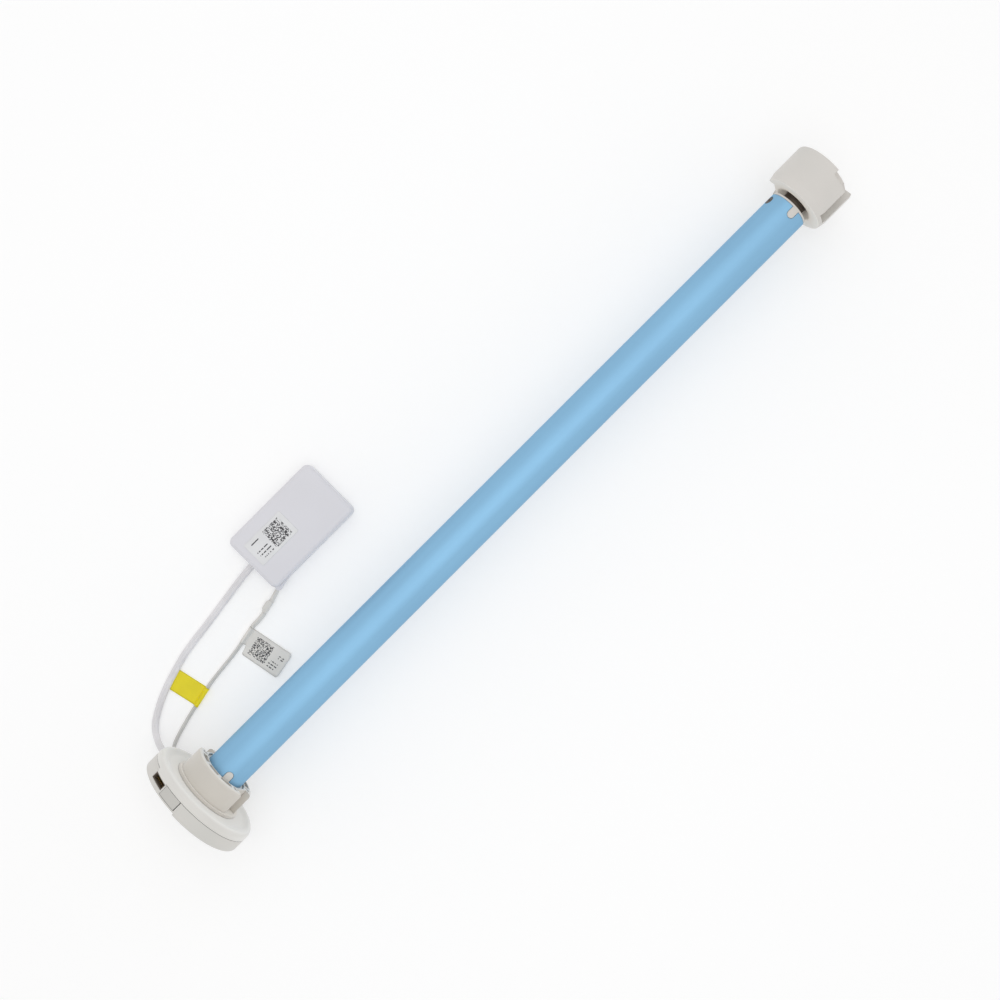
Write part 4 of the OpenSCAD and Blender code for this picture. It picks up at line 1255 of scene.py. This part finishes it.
@dataclass
class Leads:
    """The two leads from the head to the radio module, with what is on them, in millimetres."""

    wide_w: float = 4.3
    wide_t: float = 2.2
    wide_corner: float = 0.9
    wide_groove: float = 0.12
    thin_d: float = 2.35
    sleeve_d: float = 3.0
    sleeve_end: float = 1.2
    sleeve_end_share: float = 0.82
    step: float = 1.2
    exit_r: float = 37.2
    exit_x: float = 5.2
    wide_angle: float = -120.0
    thin_angle: float = -136.0
    wide_route: tuple[Point, ...] = (
        (5.2, 36.2, -20.9), (5.2, 40.5, -24.5), (5.4, 44.2, -29.5), (6.4, 47.8, -33.3), (9.2, 51.4, -34.8),
        (13.4, 54.4, -34.8), (18.6, 57.4, -34.85), (24.9, 60.4, -34.8), (32.6, 63.3, -34.5),
        (41.1, 65.9, -34.5), (48.6, 68.1, -34.7), (56, 69.7, -34.9), (64.6, 71, -34.9), (73.8, 72.1, -34.9),
        (83.6, 73.5, -34.9), (93.6, 75, -34.8), (103, 76.3, -34.2), (112.6, 77.4, -32.6), (121.3, 77.9, -32))
    thin_route: tuple[Point, ...] = (
        (5.3, 28.2, -29.2), (5.9, 31, -31.9), (7.8, 33.4, -33.9), (11.4, 35.3, -34.5), (16.2, 36.9, -34.5),
        (22.2, 38.6, -34.5), (28.4, 40.2, -34.5), (34.2, 41.5, -34.5), (41, 43, -34.5), (48, 44.5, -34.5),
        (54, 45.5, -34.5), (60.1, 46.2, -34.5), (66.5, 46.9, -34.5), (73, 47.6, -34.5), (79.5, 48.6, -34.5),
        (86.5, 50, -34.5), (93.5, 51.4, -34.5))
    sleeve_route: tuple[Point, ...] = (
        (93.5, 51.4, -34.5), (98.5, 51.6, -34.5), (102.5, 51.9, -34.4), (105.2, 52.45, -34.3),
        (113.6, 54.4, -33.75), (117.5, 55.5, -33.4), (121.3, 56.3, -33.2))
    boot_half: tuple[Point, ...] = ((4.1, 1.55, 1.5), (3.9, 1.6, 1.5), (2.7, 2.5, 1.65), (2.2, 2.7, 1.75))
    boot_middle: Point = (0.0, 2.75, 1.8)
    boot_back: float = 1.6
    boot_points: int = 28
    boot_power: float = 0.62
    flag_nudge: float = 1.15
    flag_print_reach: float = 17.0

    def whole_route(self, angle: float, route: tuple[Point, ...]) -> tuple[Point, ...]:
        """Starts a route where the lead leaves its gland, at an angle on the head's rim."""
        x, y, z = round_the_motor(angle, self.exit_r, self.exit_x) / MM
        return ((x, y, z), *route)

    def build(self, sweep: SweepTree) -> None:
        """Makes the leads, the sleeve, the boot and the two labels.

        Args:
            sweep: The tree that sweeps a profile along a line.
        """
        step = self.step * MM
        wide_line = smooth_route(self.whole_route(self.wide_angle, self.wide_route),
                                 outward(self.wide_angle), INTO_MODULE, step)
        thin_route = self.whole_route(self.thin_angle, (*self.thin_route, *self.sleeve_route[1:]))
        thin_line = smooth_route(thin_route, outward(self.thin_angle), INTO_MODULE, step)
        before = Vector(self.sleeve_route[0]) - Vector(self.thin_route[-2])
        sleeve_line = smooth_route(self.sleeve_route, before, INTO_MODULE, step)
        grooves = {"Groove Pitch": self.wide_w / 3 * MM, "Groove Share": self.wide_groove}
        wide = sweep.sweep("wide_flat_lead", wide_line, (self.wide_w, self.wide_t, self.wide_corner, 64),
                           WIDE_SHEATH, grooves)
        thin = sweep.sweep("thin_round_lead", thin_line, (self.thin_d, self.thin_d, self.thin_d / 2, 24),
                           THIN_SHEATH)
        ends = {"End Share": self.sleeve_end_share, "End Length": self.sleeve_end * MM}
        sleeve = sweep.sweep("splice_sleeve", sleeve_line,
                             (self.sleeve_d, self.sleeve_d, self.sleeve_d / 2, 24), SLEEVE_SHEATH, ends)
        boot = self.boot()
        yellow, white = self.labels()
        for piece, slot, node in ((wide, "lead_rubber", "wide_lead"), (thin, "thin_lead_rubber", "thin_lead"),
                                  (sleeve, "thin_lead_rubber", "lead_sleeve"),
                                  (boot, "thin_lead_rubber", "splice_boot"),
                                  (yellow, "yellow_film", "yellow_tag"),
                                  (white, "label_paper", "white_flag")):
            rides(piece, MOTOR, slot, node)
        LOG.info("wide lead %.4f m, thin lead %.4f m", length_of(wide_line), length_of(thin_line))

    def boot(self) -> bpy.types.Object:
        """Makes the moulded lump over the splice, which bulges towards the wide lead.

        Returns:
            The boot.
        """
        a, b = Vector(self.sleeve_route[3]), Vector(self.sleeve_route[4])
        middle, along = (a + b) / 2, (b - a).normalized()
        side = UP.cross(along).normalized()
        up = along.cross(side)
        near = [(-at, out, height) for at, out, height in self.boot_half]
        rings = []
        for at, out, height in (*near, self.boot_middle, *reversed(self.boot_half)):
            ring = []
            for i in range(self.boot_points):
                turn = 2 * math.pi * (i + 0.5) / self.boot_points
                s, u = (math.copysign(abs(value) ** self.boot_power, value)
                        for value in (math.cos(turn), math.sin(turn)))
                reach = out if s > 0 else self.boot_back
                ring.append((middle + along * at + side * s * reach + up * u * height) * MM)
            rings.append(ring)
        return from_bmesh("splice_boot_moulded", loft(rings), SLEEVE_SHEATH)

    def labels(self) -> tuple[bpy.types.Object, bpy.types.Object]:
        """Folds the yellow tag and the white label round the thin lead.

        Returns:
            The tag and the label.
        """
        tag_start, tag_end, start, end = (Vector(self.thin_route[i]) for i in (7, 9, 14, 16))
        nudge = (end - start).normalized() * self.flag_nudge
        yellow = Fold(tag_start, tag_end, self.thin_d, reach=22.4, width=13.4, way=1, corner=0.6, lift=0.9)
        white = Fold(start + nudge, end + nudge, self.thin_d, reach=30.0, width=11.3, way=-1, corner=1.6,
                     lift=1.6, neck=3.4, flare=6.1)
        side = white.side()
        x, y, z = white.middle() + side * self.flag_print_reach
        paper = PrintedFilm("white_flag_print", (221, 218, 213), 0.5, centre=(x, y, z),
                            turn=math.atan2(side.y, side.x) + math.radians(90), block=(-3.0, 4.6, 12.2),
                            rows=((-8.6, -5.8, 5.0), (-6.7, -6.2, 6.0), (-4.8, -6.6, 5.0), (-1.2, -8.6, 3.6),
                                  (0.2, -8.6, 3.6)))
        return yellow.build("yellow_tag_folded", YELLOW_FILM), white.build("white_flag_folded", paper)


@dataclass
class Lamp:
    """A large soft lamp, in metres and watts."""

    name: str
    at: Point
    to: Point
    power: float
    size: float = 1.2

    def build(self) -> None:
        """Hangs the lamp and points it."""
        data = bpy.data.lights.new(self.name, "AREA")
        data.size = self.size
        data.energy = self.power
        made = linked(self.name, data)
        made.location = self.at
        made.rotation_euler = (Vector(self.to) - Vector(self.at)).to_track_quat("-Z", "Y").to_euler()


@dataclass
class Studio:
    """The floor, the lamps, the world and the camera."""

    camera_at: Point = (0.2567, -0.00107, 0.796)
    camera_turn: float = -45.0
    lens: float = 48.6
    sensor: float = 36.0
    floor_size: float = 30.0
    floor_middle: tuple[float, float] = (0.25, 0.0)
    floor_gap: float = 0.02
    floor_grey: float = 0.8
    zenith_level: float = 0.64
    horizon_level: float = 1.0
    horizon_top: float = 0.9
    world_seen: float = 1.0
    glow_seen: float = 0.24
    glow_cast: float = 0.16
    lamps: tuple[Lamp, ...] = (Lamp("key", (0.15, -0.3, 1.3), (0.25, 0.0, 0.0), 2.9),
                               Lamp("fill", (0.45, 0.4, 1.2), (0.2, 0.02, 0.0), 2.2))

    def build(self) -> None:
        """Sets up everything that isn't part of the motor."""
        self.camera()
        self.floor()
        self.world()
        for lamp in self.lamps:
            lamp.build()
        bpy.context.scene.view_settings.view_transform = "Standard"

    def camera(self) -> None:
        """Hangs the camera over the motor, turned as the photograph is."""
        data = bpy.data.cameras.new("camera")
        data.lens = self.lens
        data.sensor_width = self.sensor
        data.clip_start = 0.01
        data.clip_end = 20.0
        made = linked("camera", data)
        made.location = self.camera_at
        made.rotation_euler = (0.0, 0.0, math.radians(self.camera_turn))
        bpy.context.scene.camera = made

    def seen(self, graph: Graph, cast: object, shown: object) -> Socket:
        """Chooses the level that a ray meets.

        Args:
            graph: The floor's or the world's graph.
            cast: The level that lights the motor.
            shown: The level that the camera, gloss and glass show.

        Returns:
            The level's socket.
        """
        rays = graph.node("ShaderNodeLightPath").outputs
        straight = graph.math("MAXIMUM", rays["Is Camera Ray"], rays["Is Transmission Ray"])
        mask = graph.math("MAXIMUM", straight, rays["Is Glossy Ray"])
        return graph.node("ShaderNodeMix", {0: mask, 2: cast, 3: shown}, data_type="FLOAT").outputs[0]

    def floor(self) -> None:
        """Lays the pale floor, which keeps the motor's shadow."""
        place = (*self.floor_middle, (FLOOR_Z - self.floor_gap) * MM)
        bpy.ops.mesh.primitive_plane_add(size=self.floor_size, location=place)
        plane = bpy.context.object
        plane.name = "floor"
        made = bpy.data.materials.new("floor_pale")
        graph = Graph(cleared(made))
        grey = (self.floor_grey, self.floor_grey, self.floor_grey, 1.0)
        pale = graph.node("ShaderNodeBsdfDiffuse", {"Color": grey}).outputs[0]
        level = self.seen(graph, self.glow_cast, self.glow_seen)
        glow = graph.node("ShaderNodeEmission", {"Color": WHITE, "Strength": level}).outputs[0]
        both = graph.node("ShaderNodeAddShader", {0: pale, 1: glow}).outputs[0]
        graph.node("ShaderNodeOutputMaterial", {"Surface": both})
        plane.data.materials.append(made)

    def world(self) -> None:
        """Surrounds everything with soft light, a little stronger near the horizon, that looks white."""
        made = bpy.data.worlds.new("studio")
        graph = Graph(cleared(made))
        height = graph.split(graph.node("ShaderNodeTexCoord").outputs["Generated"])[2]
        cast = graph.span(height, 0.0, self.horizon_top, self.horizon_level, self.zenith_level)
        level = self.seen(graph, cast, self.world_seen)
        light = graph.node("ShaderNodeBackground", {"Color": WHITE, "Strength": level}).outputs[0]
        graph.node("ShaderNodeOutputWorld", {"Surface": light})
        bpy.context.scene.world = made


def main() -> None:
    """Builds the scene piece by piece."""
    logging.basicConfig(level=logging.INFO, format="%(name)s: %(message)s")
    Studio().build()
    sweep, scatter = SweepTree(), ScatterTree()
    Leads().build(sweep)
    Head().build(scatter)
    Drive().build(scatter)
    RadioModule().build()


if __name__ == "__main__":
    main()
